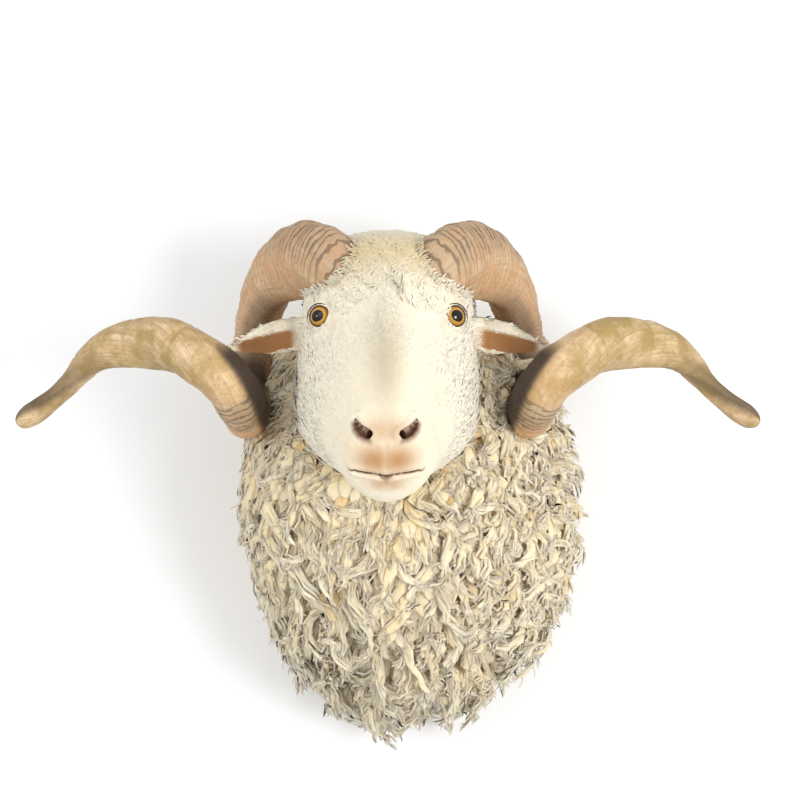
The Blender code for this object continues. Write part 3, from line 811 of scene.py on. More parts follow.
@dataclass
class Tufts:
    """Many closed tapering tufts, made together from arrays of their middle lines.

    Each line runs from the root to the tip. Rings of points stand round all of its points but
    the last, and the tip is one point.
    """

    lines: np.ndarray  # tuft, point along, coordinate
    radii: np.ndarray  # tuft, point along
    roots: np.ndarray  # tuft, place of the root on the unwrapped skin
    tones: np.ndarray  # tuft
    marks: np.ndarray  # tuft, three shares of the markings and one of bareness
    flat: float = 1.0  # thickness over width
    ups: np.ndarray | None = None  # tuft, coordinate: the way out of the skin
    sides: int = 3
    soft: float = 0.5  # how far the shading follows the skin, as in deep pile

    def part(self, chosen: np.ndarray) -> "Tufts":
        """Some of the tufts."""
        ups = None if self.ups is None else self.ups[chosen]
        arrays = (self.lines, self.radii, self.roots, self.tones, self.marks)
        return Tufts(*(array[chosen] for array in arrays), self.flat, ups, self.sides, self.soft)

    def rings(self) -> np.ndarray:
        """Points of every tuft, ring by ring, with the tip last."""
        ahead = unit(np.gradient(self.lines, axis=1))
        hint = np.array((0.13, 0.29, 0.95)) if self.ups is None else self.ups[:, None, :]
        across = unit(np.cross(ahead, np.broadcast_to(hint, ahead.shape)))
        over = np.cross(across, ahead)
        turns = -2 * math.pi * (np.arange(self.sides) + 0.25) / self.sides
        radius = self.radii[:, :-1, None, None]
        wide = np.cos(turns)[None, None, :, None] * across[:, :-1, None, :]
        thick = np.sin(turns)[None, None, :, None] * over[:, :-1, None, :] * self.flat
        rings = self.lines[:, :-1, None, :] + radius * (wide + thick)
        count = len(self.lines)
        points = np.concatenate((rings.reshape(count, -1, 3), self.lines[:, -1:, :]), 1)
        points[..., 1] = np.minimum(points[..., 1], -0.0008)
        return points

    def mesh(self) -> bpy.types.Mesh:
        """The tufts as one mesh with its unwraps and attributes."""
        points = self.rings()
        count, size = points.shape[:2]
        steps = self.lines.shape[1] - 1
        ring = np.arange(self.sides)
        after = (ring + 1) % self.sides
        base = (np.arange(steps - 1) * self.sides)[:, None]
        quads = np.stack(
            (base + ring, base + after, base + after + self.sides, base + ring + self.sides), -1
        ).reshape(-1, 4)
        last = (steps - 1) * self.sides
        tips = np.stack((last + ring, last + after, np.full(self.sides, size - 1)), -1)
        loops_one = np.concatenate((quads.ravel(), tips.ravel(), ring[::-1]))
        totals = [4] * len(quads) + [3] * len(tips) + [self.sides]
        starts_one = np.concatenate(([0], np.cumsum(totals)[:-1]))
        loops = (np.arange(count)[:, None] * size + loops_one).ravel()
        starts = (np.arange(count)[:, None] * len(loops_one) + starts_one).ravel()
        mesh = bpy.data.meshes.new("tufts")
        mesh.vertices.add(count * size)
        mesh.loops.add(len(loops))
        mesh.polygons.add(len(starts))
        mesh.vertices.foreach_set("co", points.astype(np.float32).ravel())
        mesh.loops.foreach_set("vertex_index", loops.astype(np.int32))
        mesh.polygons.foreach_set("loop_start", starts.astype(np.int32))
        mesh.update(calc_edges=True)
        if self.ups is not None:
            own = normals(mesh)
            pile = unit(own * (1 - self.soft) + np.repeat(self.ups, size, 0) * self.soft)
            write_vectors(mesh, "custom_normal", pile)
        self.unwrap(mesh, loops, size)
        return mesh

    def unwrap(self, mesh: bpy.types.Mesh, loops: np.ndarray, size: int) -> None:
        """Gives the mesh its two unwraps and its attributes.

        Args:
            mesh: the tufts' mesh.
            loops: the point of each corner.
            size: how many points each tuft has.
        """
        steps = self.lines.shape[1] - 1
        along = np.append(np.repeat(np.arange(steps), self.sides), steps) / steps
        around = np.append(np.tile(np.arange(self.sides) / self.sides, steps), 0.5)
        tuft, point = loops // size, loops % size
        patch = np.stack((around[point] - 0.5, along[point] - 0.5), -1) * 0.003
        bake = mesh.uv_layers.new(name="OFBake")
        bake.data.foreach_set("uv", (self.roots[tuft] + patch).astype(np.float32).ravel())
        reach = np.linalg.norm(np.diff(self.lines, axis=1), axis=2).sum(1)
        strand = np.stack((around[point] + self.tones[tuft] * 7, along[point] * reach[tuft] * 10), -1)
        fibre = mesh.uv_layers.new(name="Strand")
        fibre.data.foreach_set("uv", strand.astype(np.float32).ravel())
        count = len(self.lines)
        tones = np.repeat(self.tones, size)
        shares = np.tile(along, count)
        marks = np.repeat(self.marks, size, 0)
        write_vectors(mesh, "Tuft", np.stack((tones, shares, marks[:, 3]), -1))
        write_vectors(mesh, "Marks", marks[:, :3])

    def pieces(self, name: str, finish: Finish) -> int:
        """Puts the tufts in the scene in pieces of a size that a mesh file may have.

        Args:
            name: the pieces' name, to which a number is added.
            finish: what they are made of.

        Returns:
            How many pieces there are.
        """
        faces = self.sides * (self.lines.shape[1] - 1) + 1
        number = max(1, math.ceil(len(self.lines) * faces / PIECE_FACES))
        for i in range(number):
            chosen = np.arange(i, len(self.lines), number)
            mesh = self.part(chosen).mesh()
            if finish is FACE_HAIR:
                write_vectors(mesh, "Lie", swept(coordinates(mesh)))
            new_piece(f"{name}_{i + 1}", mesh, finish)
        return number


def eye_centre(hand: Hand) -> np.ndarray:
    """The middle of one eyeball."""
    return from_head(hand.value * 0.0625, 0.0088, 0.0062)


def eye_aim(hand: Hand) -> np.ndarray:
    """Columns along the lids' opening, across it and out of the eye, as in the solids."""
    out = Vector((hand.value * math.sin(math.radians(28.0)), -math.cos(math.radians(28.0)), 0.06))
    out.normalize()
    level = Vector((0, 0, 1)).cross(out).normalized()
    turn = Matrix((level, out.cross(level), out)).transposed()
    return np.array(turn @ Matrix.Rotation(-hand.value * math.radians(22.0), 3, "Z"))


def segment_distance(points: np.ndarray, start: np.ndarray, end: np.ndarray) -> np.ndarray:
    """How far points are from a straight line between two places."""
    line = end - start
    share = np.clip((points - start) @ line / (line @ line), 0.0, 1.0)
    return np.linalg.norm(points - start - share[..., None] * line, axis=-1)


def hill(distance: np.ndarray, radius: float) -> np.ndarray:
    """1 at no distance, falling softly to 0 beyond the radius."""
    return np.exp(-((distance / radius) ** 2))


def markings(points: np.ndarray) -> np.ndarray:
    """How pink, how grey and how stained the face is at places in space.

    Args:
        points: the places.

    Returns:
        Three shares from 0 to 1 for each place.
    """
    side, along, above = np.moveaxis(to_head(points), -1, 0)
    away = np.abs(side)

    def blot(centre, size):
        parts = ((away - centre[0]) / size[0], (along - centre[1]) / size[1])
        return np.exp(-(parts[0] ** 2 + parts[1] ** 2 + ((above - centre[2]) / size[2]) ** 2))

    nose = 0.95 * blot((0.010, 0.210, 0.016), (0.021, 0.024, 0.017))
    nose = np.maximum(nose, 0.62 * blot((0.006, 0.196, 0.036), (0.020, 0.014, 0.014)))
    nose = np.maximum(nose, 0.80 * blot((0.0, 0.215, -0.011), (0.018, 0.018, 0.009)))
    nose = np.maximum(nose, 0.60 * blot((0.052, 0.032, 0.006), (0.004, 0.014, 0.014)))
    for hand in Hand:
        nose = np.maximum(nose, Ear(hand).cup(points))
    bridge = 0.95 * blot((0.0, 0.125, 0.056), (0.017, 0.070, 0.030))
    stain = 0.85 * blot((0.018, -0.035, 0.055), (0.045, 0.040, 0.045))
    return np.stack((np.clip(nose, 0, 1), bridge, stain), -1)


def swept(points: np.ndarray) -> np.ndarray:
    """Places as the hair's lie sees them: fine across it and drawn out along it.

    Args:
        points: the places in space.

    Returns:
        Three numbers for each place, in which the grain of the hair is even.
    """
    side, along, above = np.moveaxis(to_head(points), -1, 0)
    away = np.abs(side)
    across = away + 0.55 * along + 0.004 * np.sin(along * 120) * np.cos(side * 90)
    return np.stack((across * 300, (along - 0.55 * away) * 60, above * 150), -1)


def bareness(points: np.ndarray) -> np.ndarray:
    """How dark and bare the skin is: within the nostrils, along the lips and in the ears' cups; in the nostrils and
    along the mouth's line the darkness is also painted shade.

    Args:
        points: the places in space.

    Returns:
        A share from 0 to 1 for each place.
    """
    local = to_head(points)
    mirrored = np.abs(local) * (1, 0, 0) + local * (0, 1, 1)
    bore = np.array(Head().nostril)
    gaps = [segment_distance(mirrored, a[:3], b[:3]) - (a[3] + b[3]) / 2 for a, b in zip(bore, bore[1:])]
    rise = mirrored[:, 2] - mirrored[:, 1] + 0.1565
    lower = ease(-0.002, 0.004, 0.81 * (mirrored[:, 0] - 0.0215) - 0.59 * rise)
    # The nostrils' bare skin, darkened further as painted shade in their bores and, wider, on their lower outer side.
    bare = 1 - ease(-0.0010, 0.0006 + 0.0058 * lower, np.min(gaps, 0))
    line = np.array(Head().mouth)[::-1]
    lip = np.abs(mirrored[:, 2] - np.interp(mirrored[:, 0], line[:, 0], line[:, 2]))
    front = ease(0.176, 0.186, mirrored[:, 1]) * (1 - ease(0.030, 0.038, mirrored[:, 0]))
    # Painted shade: a thin dark line where the lips meet.
    bare = np.maximum(bare, front * (1 - ease(0.0006, 0.0015, lip)))
    for hand in Hand:
        outer = 0.12 + 0.42 * ease(0.085, 0.130, np.abs(local[:, 0]))
        bare = np.maximum(bare, outer * Ear(hand).cup(points))
    return bare


@dataclass
class Head:
    """The skinned head: its form with brows, lids, tear lines, nostrils, lips and chin."""

    rings: int = 210
    sides: int = 228
    eye_radius: float = 0.0145
    lid_thickness: float = 0.0022
    opening: tuple[float, float] = (0.0134, 0.0114)
    pinch: float = 0.28
    nostril: tuple = (
        (0.0280, 0.1795, 0.0360, 0.0008),
        (0.0265, 0.1838, 0.0357, 0.0022),
        (0.0242, 0.1886, 0.0352, 0.0036),
        (0.0206, 0.1930, 0.0348, 0.0048),
        (0.0166, 0.1958, 0.0345, 0.0052),
        (0.0132, 0.1962, 0.0330, 0.0046),
        (0.0110, 0.1820, 0.0240, 0.0034),
    )
    mouth: tuple = ((0.0285, 0.2103, 0.0012), (0.0150, 0.2146, 0.0022), (0.0, 0.2160, 0.0012))

    def place(self, share: np.ndarray, angle: np.ndarray) -> np.ndarray:
        """Points on the plain form of the head."""
        rows = through(HEAD_SECTIONS, share)
        along, top, middle, bottom, half, upper, lower = np.moveaxis(rows, -1, 0)
        sine, cosine = np.sin(angle), np.cos(angle)
        power = 2 / np.where(cosine > 0, upper, lower)
        reach = np.where(cosine > 0, top - middle, middle - bottom)
        return from_head(half * bulge(sine, power), along, middle + reach * bulge(cosine, power))

    def shape_lids(self, points: np.ndarray) -> np.ndarray:
        """Swells the skin over each eyeball, under a brow and over a soft lower fold."""
        for hand in Hand:
            centre, aim = eye_centre(hand), eye_aim(hand)
            away = points - centre
            distance = np.linalg.norm(away, axis=1)
            target = self.eye_radius + self.lid_thickness
            soft = 0.0022
            lift = soft * np.log1p(np.exp(np.clip((target - distance) / soft, -30, 30)))
            points = points + unit(away) * lift[:, None]
            local = (points - centre) @ aim
            brow = hill(local[:, 1] - 0.0165 - 0.0030 * np.cos(local[:, 0] / 0.011), 0.0050)
            brow *= hill(local[:, 0], 0.019) * (local[:, 2] > 0)
            fold = hill(local[:, 1] + 0.0160, 0.0035) * hill(local[:, 0], 0.014) * (local[:, 2] > 0)
            crease = hill(local[:, 1] - 0.0120, 0.0014) * hill(local[:, 0], 0.012) * (local[:, 2] > 0)
            push = 0.0026 * brow + 0.0012 * fold - 0.0008 * crease
            points = points + aim[:, 2] * push[:, None]
        return points

    def shape_muzzle(self, points: np.ndarray, out: np.ndarray) -> np.ndarray:
        """Raises the nostril wings, the lips and the chin, and sinks the philtrum and tear lines."""
        local = to_head(points)
        away = np.abs(local[:, 0])
        mirrored = np.stack((away, local[:, 1], local[:, 2]), -1)
        bore = np.array(self.nostril)[:, :3]
        near = np.min([segment_distance(mirrored, a, b) for a, b in zip(bore[:5], bore[1:6])], 0)
        rise = local[:, 2] - local[:, 1] + 0.1565
        inwards = 1 - ease(-0.002, 0.004, 0.81 * (away - 0.0215) - 0.59 * rise)
        push = (0.0006 + 0.0016 * inwards) * hill(near - 0.0056, 0.0028)
        line = np.array(self.mouth)
        lip = np.min([segment_distance(mirrored, a, b) for a, b in zip(line, line[1:])], 0)
        upper = local[:, 2] > np.interp(away, line[::-1, 0], line[::-1, 2])
        push += np.where(upper, 0.0016, 0.0020) * hill(lip - 0.0042, 0.0034)
        push -= 0.0014 * hill(lip, 0.0016)
        cleft = np.array(((0.0, 0.205, 0.030), (0.0, 0.2135, 0.008)))
        push -= 0.0015 * hill(segment_distance(mirrored, *cleft), 0.0016)
        push += 0.0008 * hill(segment_distance(mirrored, *(cleft + (0.004, 0, 0))), 0.0030)
        tear = np.array(((0.0500, 0.0200, 0.0110), (0.0530, 0.0420, 0.0000)))
        push -= 0.0016 * hill(segment_distance(mirrored, *tear), 0.0028)
        bridge = hill(away, 0.014) * ease(0.02, 0.06, local[:, 1]) * (local[:, 2] > 0)
        push += 0.0014 * bridge * (1 - ease(0.14, 0.18, local[:, 1]))
        jaw = segment_distance(mirrored, *np.array(((0.078, 0.0, -0.070), (0.070, 0.060, -0.090))))
        push += 0.0020 * hill(jaw, 0.022)
        hollow = segment_distance(mirrored, *np.array(((0.070, 0.070, -0.01), (0.052, 0.12, 0.01))))
        push -= 0.0022 * hill(hollow, 0.014)
        chin = np.linalg.norm(mirrored - np.array((0.0, 0.198, -0.030)), axis=1)
        push += 0.0012 * hill(chin, 0.012)
        return points + out * push[:, None]

    def ball(self, hand: Hand, radius: float) -> bpy.types.Mesh:
        """A fine ball at the place of one eye."""
        shape = bmesh.new()
        bmesh.ops.create_uvsphere(shape, u_segments=64, v_segments=40, radius=radius)
        bmesh.ops.translate(shape, verts=shape.verts, vec=Vector(eye_centre(hand)))
        mesh = bpy.data.meshes.new("ball")
        shape.to_mesh(mesh)
        shape.free()
        return mesh

    def almond(self, angle: np.ndarray, spread: np.ndarray) -> np.ndarray:
        """The outline of the lids' opening, along it and across it."""
        pinch = 1 - self.pinch * np.cos(angle) ** 2
        across = self.opening[1] * np.sin(angle) * pinch
        return np.stack((self.opening[0] * np.cos(angle), across), -1) * spread[..., None]

    def opening_cutter(self, hand: Hand) -> bpy.types.Mesh:
        """The almond bore that parts the lids in front of one eye."""

        def place(share, angle):
            flat = self.almond(angle, 0.92 + 0.20 * share)
            depth = self.eye_radius * (0.35 + 1.75 * share)
            local = np.concatenate((flat, depth[..., None]), -1)
            return eye_centre(hand) + local @ eye_aim(hand).T

        return lofted(5, 72, place)[0]

    def nostril_cutter(self, hand: Hand) -> bpy.types.Mesh:
        """The comma-shaped bore of one nostril."""

        def place(share, angle):
            rows = through(self.nostril, share)
            ahead = unit(through(self.nostril, share + 0.03)[..., :3] - rows[..., :3] + 1e-6)
            across = unit(np.cross(ahead, np.array((0.0, 0.3, 1.0))))
            over = np.cross(across, ahead)
            spoke = np.cos(angle)[..., None] * across + np.sin(angle)[..., None] * over
            local = rows[..., :3] + rows[..., 3:] * spoke
            return from_head(hand.value * local[..., 0], local[..., 1], local[..., 2])

        return lofted(30, 20, place)[0]

    def mouth_cutter(self) -> bpy.types.Mesh:
        """The closed line of the mouth: a thin bent plate, wavy where the lips meet."""

        def place(share, angle):
            side = (share - 0.5) * 2
            rows = through(self.mouth, 1 - np.abs(side))
            wave = 0.0004 * np.sin(side * 23.0) + 0.0003 * np.sin(side * 41.0 + 1.0)
            wave = wave + 0.0006 * np.cos(side * 9.0) * (1 - np.abs(side))
            thin = 1 - 0.75 * np.abs(side) ** 3
            along = rows[..., 1] + 0.0010 + 0.0062 * np.cos(angle)
            above = rows[..., 2] + wave + 0.0007 * thin * np.sin(angle)
            return from_head(np.copysign(rows[..., 0], side), along, above)

        return lofted(90, 12, place)[0]

    def mesh(self) -> bpy.types.Mesh:
        """The whole head with its openings cut."""
        mesh = lofted(self.rings, self.sides, self.place)[0]
        move_points(mesh, self.shape_lids(coordinates(mesh)))
        move_points(mesh, self.shape_muzzle(coordinates(mesh), normals(mesh)))
        mesh = combine(mesh, "DIFFERENCE", self.mouth_cutter())
        for hand in Hand:
            mesh = combine(mesh, "DIFFERENCE", self.nostril_cutter(hand))
            mesh = combine(mesh, "DIFFERENCE", self.ball(hand, self.eye_radius + 0.0002))
            mesh = combine(mesh, "DIFFERENCE", self.opening_cutter(hand))
        return mesh

    def lid_rim(self, hand: Hand) -> bpy.types.Mesh:
        """The bare dark rim of the lids, a fine roll along their edge."""

        def place(share, angle):
            turn = 2 * math.pi * share
            flat = self.almond(turn, np.full_like(turn, 1.0))
            centre_depth = np.sqrt((self.eye_radius + 0.0010) ** 2 - (flat**2).sum(-1))
            out = unit(np.concatenate((flat, centre_depth[..., None]), -1))
            side = unit(np.concatenate((flat, 0 * turn[..., None]), -1))
            spoke = np.cos(angle)[..., None] * side + np.sin(angle)[..., None] * out
            thick = 0.00115 + 0.00045 * ease(-0.4, 0.8, np.sin(turn))
            local = out * (self.eye_radius + 0.0009) + thick[..., None] * spoke
            return eye_centre(hand) + local @ eye_aim(hand).T

        return lofted(97, 10, place)[0]


@dataclass
class Ear:
    """One ear: a leaf that is cupped towards the front, drooping at its tip."""

    hand: Hand
    root: tuple[float, float, float] = (0.070, -0.0075, -0.034)
    tip: tuple[float, float, float] = (0.160, -0.286, 0.1975)
    facing: tuple[float, float, float] = (0.10, -0.88, -0.34)
    half_width: float = 0.0172
    thickness: tuple[float, float] = (0.0147, 0.0042)
    droop: float = 0.010
    wall: float = 0.0026

    def frame(self) -> tuple[np.ndarray, ...]:
        """The root, the reach to the tip, and the ways the cup and its upper rim face."""
        root = from_head(self.hand.value * self.root[0], *self.root[1:])
        tip = np.array((HEAD_OFFSET + self.hand.value * self.tip[0], *self.tip[1:]))
        reach = tip - root
        ahead = unit(reach)
        facing = np.array((self.hand.value * self.facing[0], *self.facing[1:]))
        facing = unit(facing - ahead * (facing @ ahead))
        return root, reach, facing, np.cross(ahead, facing) * self.hand.value

    def place(self, share: np.ndarray, angle: np.ndarray) -> np.ndarray:
        """Points on the ear, with its cup pressed in from the front."""
        root, reach, facing, upright = self.frame()
        half = self.half_width * np.sin(math.pi * (0.30 + 0.62 * share)) ** 0.75
        half = half * (1 - 0.68 * np.clip((share - 0.55) / 0.45, 0, None) ** 1.6)
        half = half * np.sqrt(np.clip(1 - ((share - 0.90) / 0.102).clip(0) ** 2, 0.02, 1))
        deep = 0.75 * (self.thickness[0] + (self.thickness[1] - self.thickness[0]) * share)
        sine, cosine = np.sin(angle), np.cos(angle)
        rounded = deep * sine
        wall = self.wall * np.clip(sine, 0, 1) ** 0.6
        pressed = -deep * np.clip(sine, 0, 1) * 0.85 + wall
        cup = ease(0.12, 0.30, share) * (1 - ease(0.90, 1.0, share))
        front = np.where(sine > 0, rounded + (pressed - rounded) * cup, rounded)
        sag = self.droop * (share**2 - 0.4)
        centre = root + reach * share[..., None] - sag[..., None] * np.array((0, 0, 1.0))
        ripple = 0.0012 * np.sin(share * 17.0 + self.hand.value) * np.abs(cosine)
        shift = (front + ripple)[..., None] * facing + (half * cosine)[..., None] * upright
        return centre + shift

    def cup(self, points: np.ndarray) -> np.ndarray:
        """How far inside the ear's cup each place is, from 0 to 1."""
        root, reach, facing, upright = self.frame()
        share = (points - root) @ reach / (reach @ reach)
        sag = self.droop * (share**2 - 0.4)
        off = points - root - reach * share[:, None] + sag[:, None] * np.array((0, 0, 1.0))
        rise, front = off @ upright / self.half_width, off @ facing
        inside = ease(-0.42, -0.10, rise) * (1 - ease(0.80, 1.02, rise))
        inside *= ease(0.18, 0.34, share) * (1 - ease(0.84, 0.98, share))
        return inside * (1 - ease(0.004, 0.007, front)) * ease(-0.009, -0.0065, front)

    def mesh(self) -> tuple[bpy.types.Mesh, np.ndarray, np.ndarray]:
        """The ear's mesh, with each point's share along and angle round."""
        return lofted(64, 56, self.place)


@dataclass
class Trunk:
    """The skinned neck and chest that the fleece grows on."""

    rings: int = 70
    sides: int = 120
    fullness: float = 0.86
    wedge: float = 3.1

    def place(self, share: np.ndarray, angle: np.ndarray, grow: float = 0.0) -> np.ndarray:
        """Points on the neck and chest; share 0 is at the wall and angle 0 on the nape."""
        rows = through(BODY_SECTIONS, share)
        nape_y, nape_z, throat_y, throat_z, half, shift = np.moveaxis(rows, -1, 0)
        nape = np.stack((shift, nape_y, nape_z), -1)
        throat = np.stack((shift, throat_y, throat_z), -1)
        middle, rise = (nape + throat) / 2, (nape - throat) / 2
        lift = bulge(np.cos(angle), self.fullness)
        spread = bulge(np.sin(angle), self.fullness)
        narrowed = np.copysign(1 - np.abs(lift) ** self.wedge, spread)
        spread = np.where(lift < 0, spread + (narrowed - spread) * (1 - share), spread)
        out = unit(rise) * (grow * lift)[..., None]
        wide = (half + grow) * spread
        return middle + rise * lift[..., None] + out + wide[..., None] * np.array((1.0, 0, 0))

    def mesh(self, grow: float = 0.0) -> bpy.types.Mesh:
        """The closed form of the neck and chest."""
        return lofted(self.rings, self.sides, lambda s, a: self.place(s, a, grow))[0]


@dataclass
class HornHorn:
    """One horn: a ridged curl of one and a half turns that flares out to a spoon-shaped tip."""

    hand: Hand
    rings: int = 540
    sides: int = 60
    narrowing: float = 0.22

    def frame(self, share: np.ndarray) -> tuple[np.ndarray, ...]:
        """The middle line, the outward way of the curl and the two half widths."""
        rows = np.moveaxis(through(HORN_CURL, share), -1, 0)
        turn, out, radius, y, z, radial, sideways = rows
        angle = np.radians(turn)
        outward = np.stack((0 * angle, np.sin(angle), np.cos(angle)), -1)
        centre = np.stack((out, y, z), -1) + radius[..., None] * outward
        return centre, outward, radial / 2, sideways / 2

    def grown(self, share: np.ndarray) -> np.ndarray:
        """How far along the horn each share is, in metres."""
        steps = np.linspace(0, 1, 400)
        line = self.frame(steps)[0]
        length = np.append(0, np.cumsum(np.linalg.norm(np.diff(line, axis=0), axis=1)))
        return np.interp(share, steps, length)

    def relief(self, share: np.ndarray, angle: np.ndarray) -> tuple[np.ndarray, np.ndarray]:
        """Height of the wrinkles, swells and cracks, and how ridged the horn is there."""
        length = self.grown(share)
        seed = 0.7 if self.hand is Hand.LEFT else 2.1
        wander = 0.0020 * np.sin(angle * 2 + length * 34 + seed) + 0.0012 * np.sin(angle * 5 + seed)
        place = length + wander + 0.0016 * np.sin(length * 260 + seed)
        ridged = 1 - ease(0.40, 0.62, share)
        wave = np.abs(np.sin(place * math.pi / 0.0066))
        fine = np.sin(place * 2 * math.pi / 0.0029 + 2 * np.sin(angle))
        swell = np.sin(place * 2 * math.pi / 0.031 + seed)
        height = (0.0011 * (wave - 0.6) + 0.00018 * fine) * (0.06 + 0.94 * ridged)
        height += 0.0010 * swell * (0.35 + 0.65 * ridged)
        streak = np.sin(angle * 9 + 3 * np.sin(length * 21 + seed)) + 0.5 * np.sin(angle * 23 + seed)
        height += 0.00035 * streak * (1 - ridged)
        height -= 0.0026 * hill(share - 0.655, 0.0035) * (0.4 + 0.6 * np.cos(angle * 2 + seed) ** 2)
        height -= 0.0018 * hill(share - 0.745 - 0.004 * np.sin(angle), 0.0028)
        height -= 0.0014 * hill(share - 0.83 - 0.006 * np.sin(angle + 1), 0.0026)
        return height, ridged

    def crowd(self, share: np.ndarray) -> np.ndarray:
        """Shares that stand closer together where the horn is wrinkled."""
        return 0.72 * share + 0.28 * share**3

    def place(self, share: np.ndarray, angle: np.ndarray) -> np.ndarray:
        """Points on the horn's surface."""
        centre, outward, radial, sideways = self.frame(share)
        ahead = unit(self.frame(share + 0.004)[0] - self.frame(share - 0.004)[0])
        outward = unit(outward - ahead * (outward * ahead).sum(-1, keepdims=True))
        across = np.cross(ahead, outward)
        up, side = np.cos(angle), np.sin(angle)
        height, _ = self.relief(share, angle)
        tip = ease(0.80, 0.96, share)
        sunk = 1 - ease(0.0, 0.022, share)
        centre = centre - ahead * (0.020 * sunk)[..., None]
        radial, sideways = radial * (1 - 0.45 * sunk), sideways * (1 - 0.35 * sunk)
        blunt = np.sqrt(np.clip(1 - ((share - 0.955) / 0.0452).clip(0) ** 2, 0.01, 1))
        narrow = 1 - self.narrowing * np.clip(-up, 0, None)
        spoon = 0.42 * tip * np.clip(side, 0, None) ** 2
        tall = (radial * blunt + height * (0.6 + 0.4 * up)) * up
        wide = (sideways * blunt * narrow + height * 0.6) * side
        wide = wide - 2 * sideways * spoon * blunt * np.clip(1 - up**2, 0, 1)
        point = centre + outward * tall[..., None] + across * wide[..., None]
        x = HEAD_OFFSET + self.hand.value * point[..., 0]
        return np.stack((x, point[..., 1], point[..., 2]), -1)

    def build(self) -> BVHTree:
        """Puts the horn in the scene, with the maps its finish reads, and gives its surface."""
        mesh, share, angle = lofted(self.rings, self.sides, lambda s, a: self.place(self.crowd(s), a))
        share = self.crowd(share)
        height, ridged = self.relief(share, angle)
        groove = ease(-0.5, 0.8, np.cos(angle)) * (1 - ease(0.12, 0.34, share))
        groove = np.maximum(groove, 0.30 * (1 - ease(0.30, 0.50, share)))
        lower = ease(0.425, 0.445, share) * (1 - ease(0.49, 0.51, share))
        groove = np.maximum(groove, lower * ease(-0.3, 0.5, np.cos(angle)))
        # Painted shade: the sides of the horn that face in, under the curl, towards the head and inside the tip, are
        # darkened where shade falls.
        inner = ease(0.10, 0.65, -np.cos(angle)) * ease(0.26, 0.35, share) * (1 - ease(0.48, 0.60, share))
        edge = 0.55 * ease(0.55, 0.95, -np.cos(angle)) * ease(0.10, 0.20, share) * (1 - ease(0.30, 0.36, share))
        inner = np.maximum(inner, edge)
        head_side_shade = ease(0.34, 0.42, share) * (1 - ease(0.55, 0.60, share))
        inner = np.maximum(inner, head_side_shade * ease(0.55, 0.80, -np.sin(angle)))
        inner = np.maximum(inner, 0.8 * ease(0.25, 0.9, -np.cos(angle)) * ease(0.72, 0.95, share))
        # The horn's three channels: share of the smooth flare, the grooves' dirt and weathering, and the painted
        # shade of the inner side.
        write_vectors(mesh, "Growth", np.stack((1 - ridged, groove, inner), -1))
        self.unwrap(mesh, angle / (2 * math.pi) * 0.17, self.grown(share))
        surface = surface_of(mesh)
        obj = new_piece(f"ram_horn_{self.hand.word}", mesh, HORN)
        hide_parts(f"horn_{self.hand.word}")
        return surface

    def unwrap(self, mesh: bpy.types.Mesh, around: np.ndarray, along: np.ndarray) -> None:
        """Maps the horn's grain: around it and along it, both in metres."""
        loops = np.empty(len(mesh.loops), np.int32)
        mesh.loops.foreach_get("vertex_index", loops)
        starts = np.empty(len(mesh.polygons), np.int32)
        mesh.polygons.foreach_get("loop_start", starts)
        u = around[loops]
        face = np.zeros(len(loops), int)
        face[starts[1:]] = 1
        face = np.cumsum(face)
        widest = np.maximum.reduceat(u, starts)
        u = np.where(widest[face] - u > 0.085, u + 0.17, u)
        layer = mesh.uv_layers.new(name="Grain")
        layer.data.foreach_set("uv", np.stack((u, along[loops]), -1).astype(np.float32).ravel())


@dataclass
class Eye:
    """One glass eye: a ball with a clear bulge before its painted iris."""

    hand: Hand
    radius: float = 0.0145
    iris: float = 0.0098

    def build(self) -> None:
        """Puts the eye in the scene, with its pole on the way it looks."""
        shape = bmesh.new()
        bmesh.ops.create_uvsphere(shape, u_segments=72, v_segments=64, radius=self.radius)
        mesh = bpy.data.meshes.new("eye")
        shape.to_mesh(mesh)
        shape.free()
        local = coordinates(mesh)
        across = np.linalg.norm(local[:, :2], axis=1)
        front = local[:, 2] > 0
        swell = 0.0009 * np.where(front, np.clip(1 - (across / 0.0102) ** 2, 0, 1), 0)
        move_points(mesh, eye_centre(self.hand) + (local * (1 + swell / self.radius)[:, None]) @ eye_aim(self.hand).T)
        turn = np.arctan2(local[:, 1], local[:, 0])
        oval = np.hypot(local[:, 0] * 0.93, local[:, 1] * 1.08)
        ring = np.where(front, oval / (self.iris * 1.42), 1.0)
        write_vectors(mesh, "Iris", np.stack((ring, np.cos(turn) * 3, np.sin(turn) * 3), -1))
        obj = new_piece(f"glass_eye_{self.hand.word}", mesh, EYE_GLASS)
        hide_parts(f"eye_{self.hand.word}")


@dataclass
class Skin:
    """The tanned skin of the whole mount, in one piece from the muzzle to the wall."""

    def build(self) -> dict[str, BVHTree]:
        """Joins head, ears and trunk, and gives the surface of each for the coat to grow on."""
        head = Head().mesh()
        surfaces = {"head": surface_of(head)}
        trunk = Trunk().mesh()
        surfaces["trunk"] = surface_of(trunk)
        whole = combine(head, "UNION", trunk)
        for hand in Hand:
            ear = Ear(hand).mesh()[0]
            surfaces[f"ear_{hand.word}"] = surface_of(ear)
            whole = combine(whole, "UNION", ear)
        points = coordinates(whole)
        write_vectors(whole, "Marks", markings(points))
        write_vectors(whole, "Lie", swept(points))
        # The skin's own tuft values: an even tone, part of the hair's painted root shade, and its bareness.
        shares = np.full(len(points), 0.5)
        write_vectors(whole, "Tuft", np.stack((shares, 0.5 * shares, bareness(points)), -1))
        obj = new_piece("tanned_skin", whole, FACE_HAIR)
        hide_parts("head", "neck", "chest", "ear_left", "ear_right")
        surfaces["skin"] = surface_of(whole)
        for hand in Hand:
            new_piece(f"lid_rim_{hand.word}", Head().lid_rim(hand), LID_SKIN)
        return surfaces


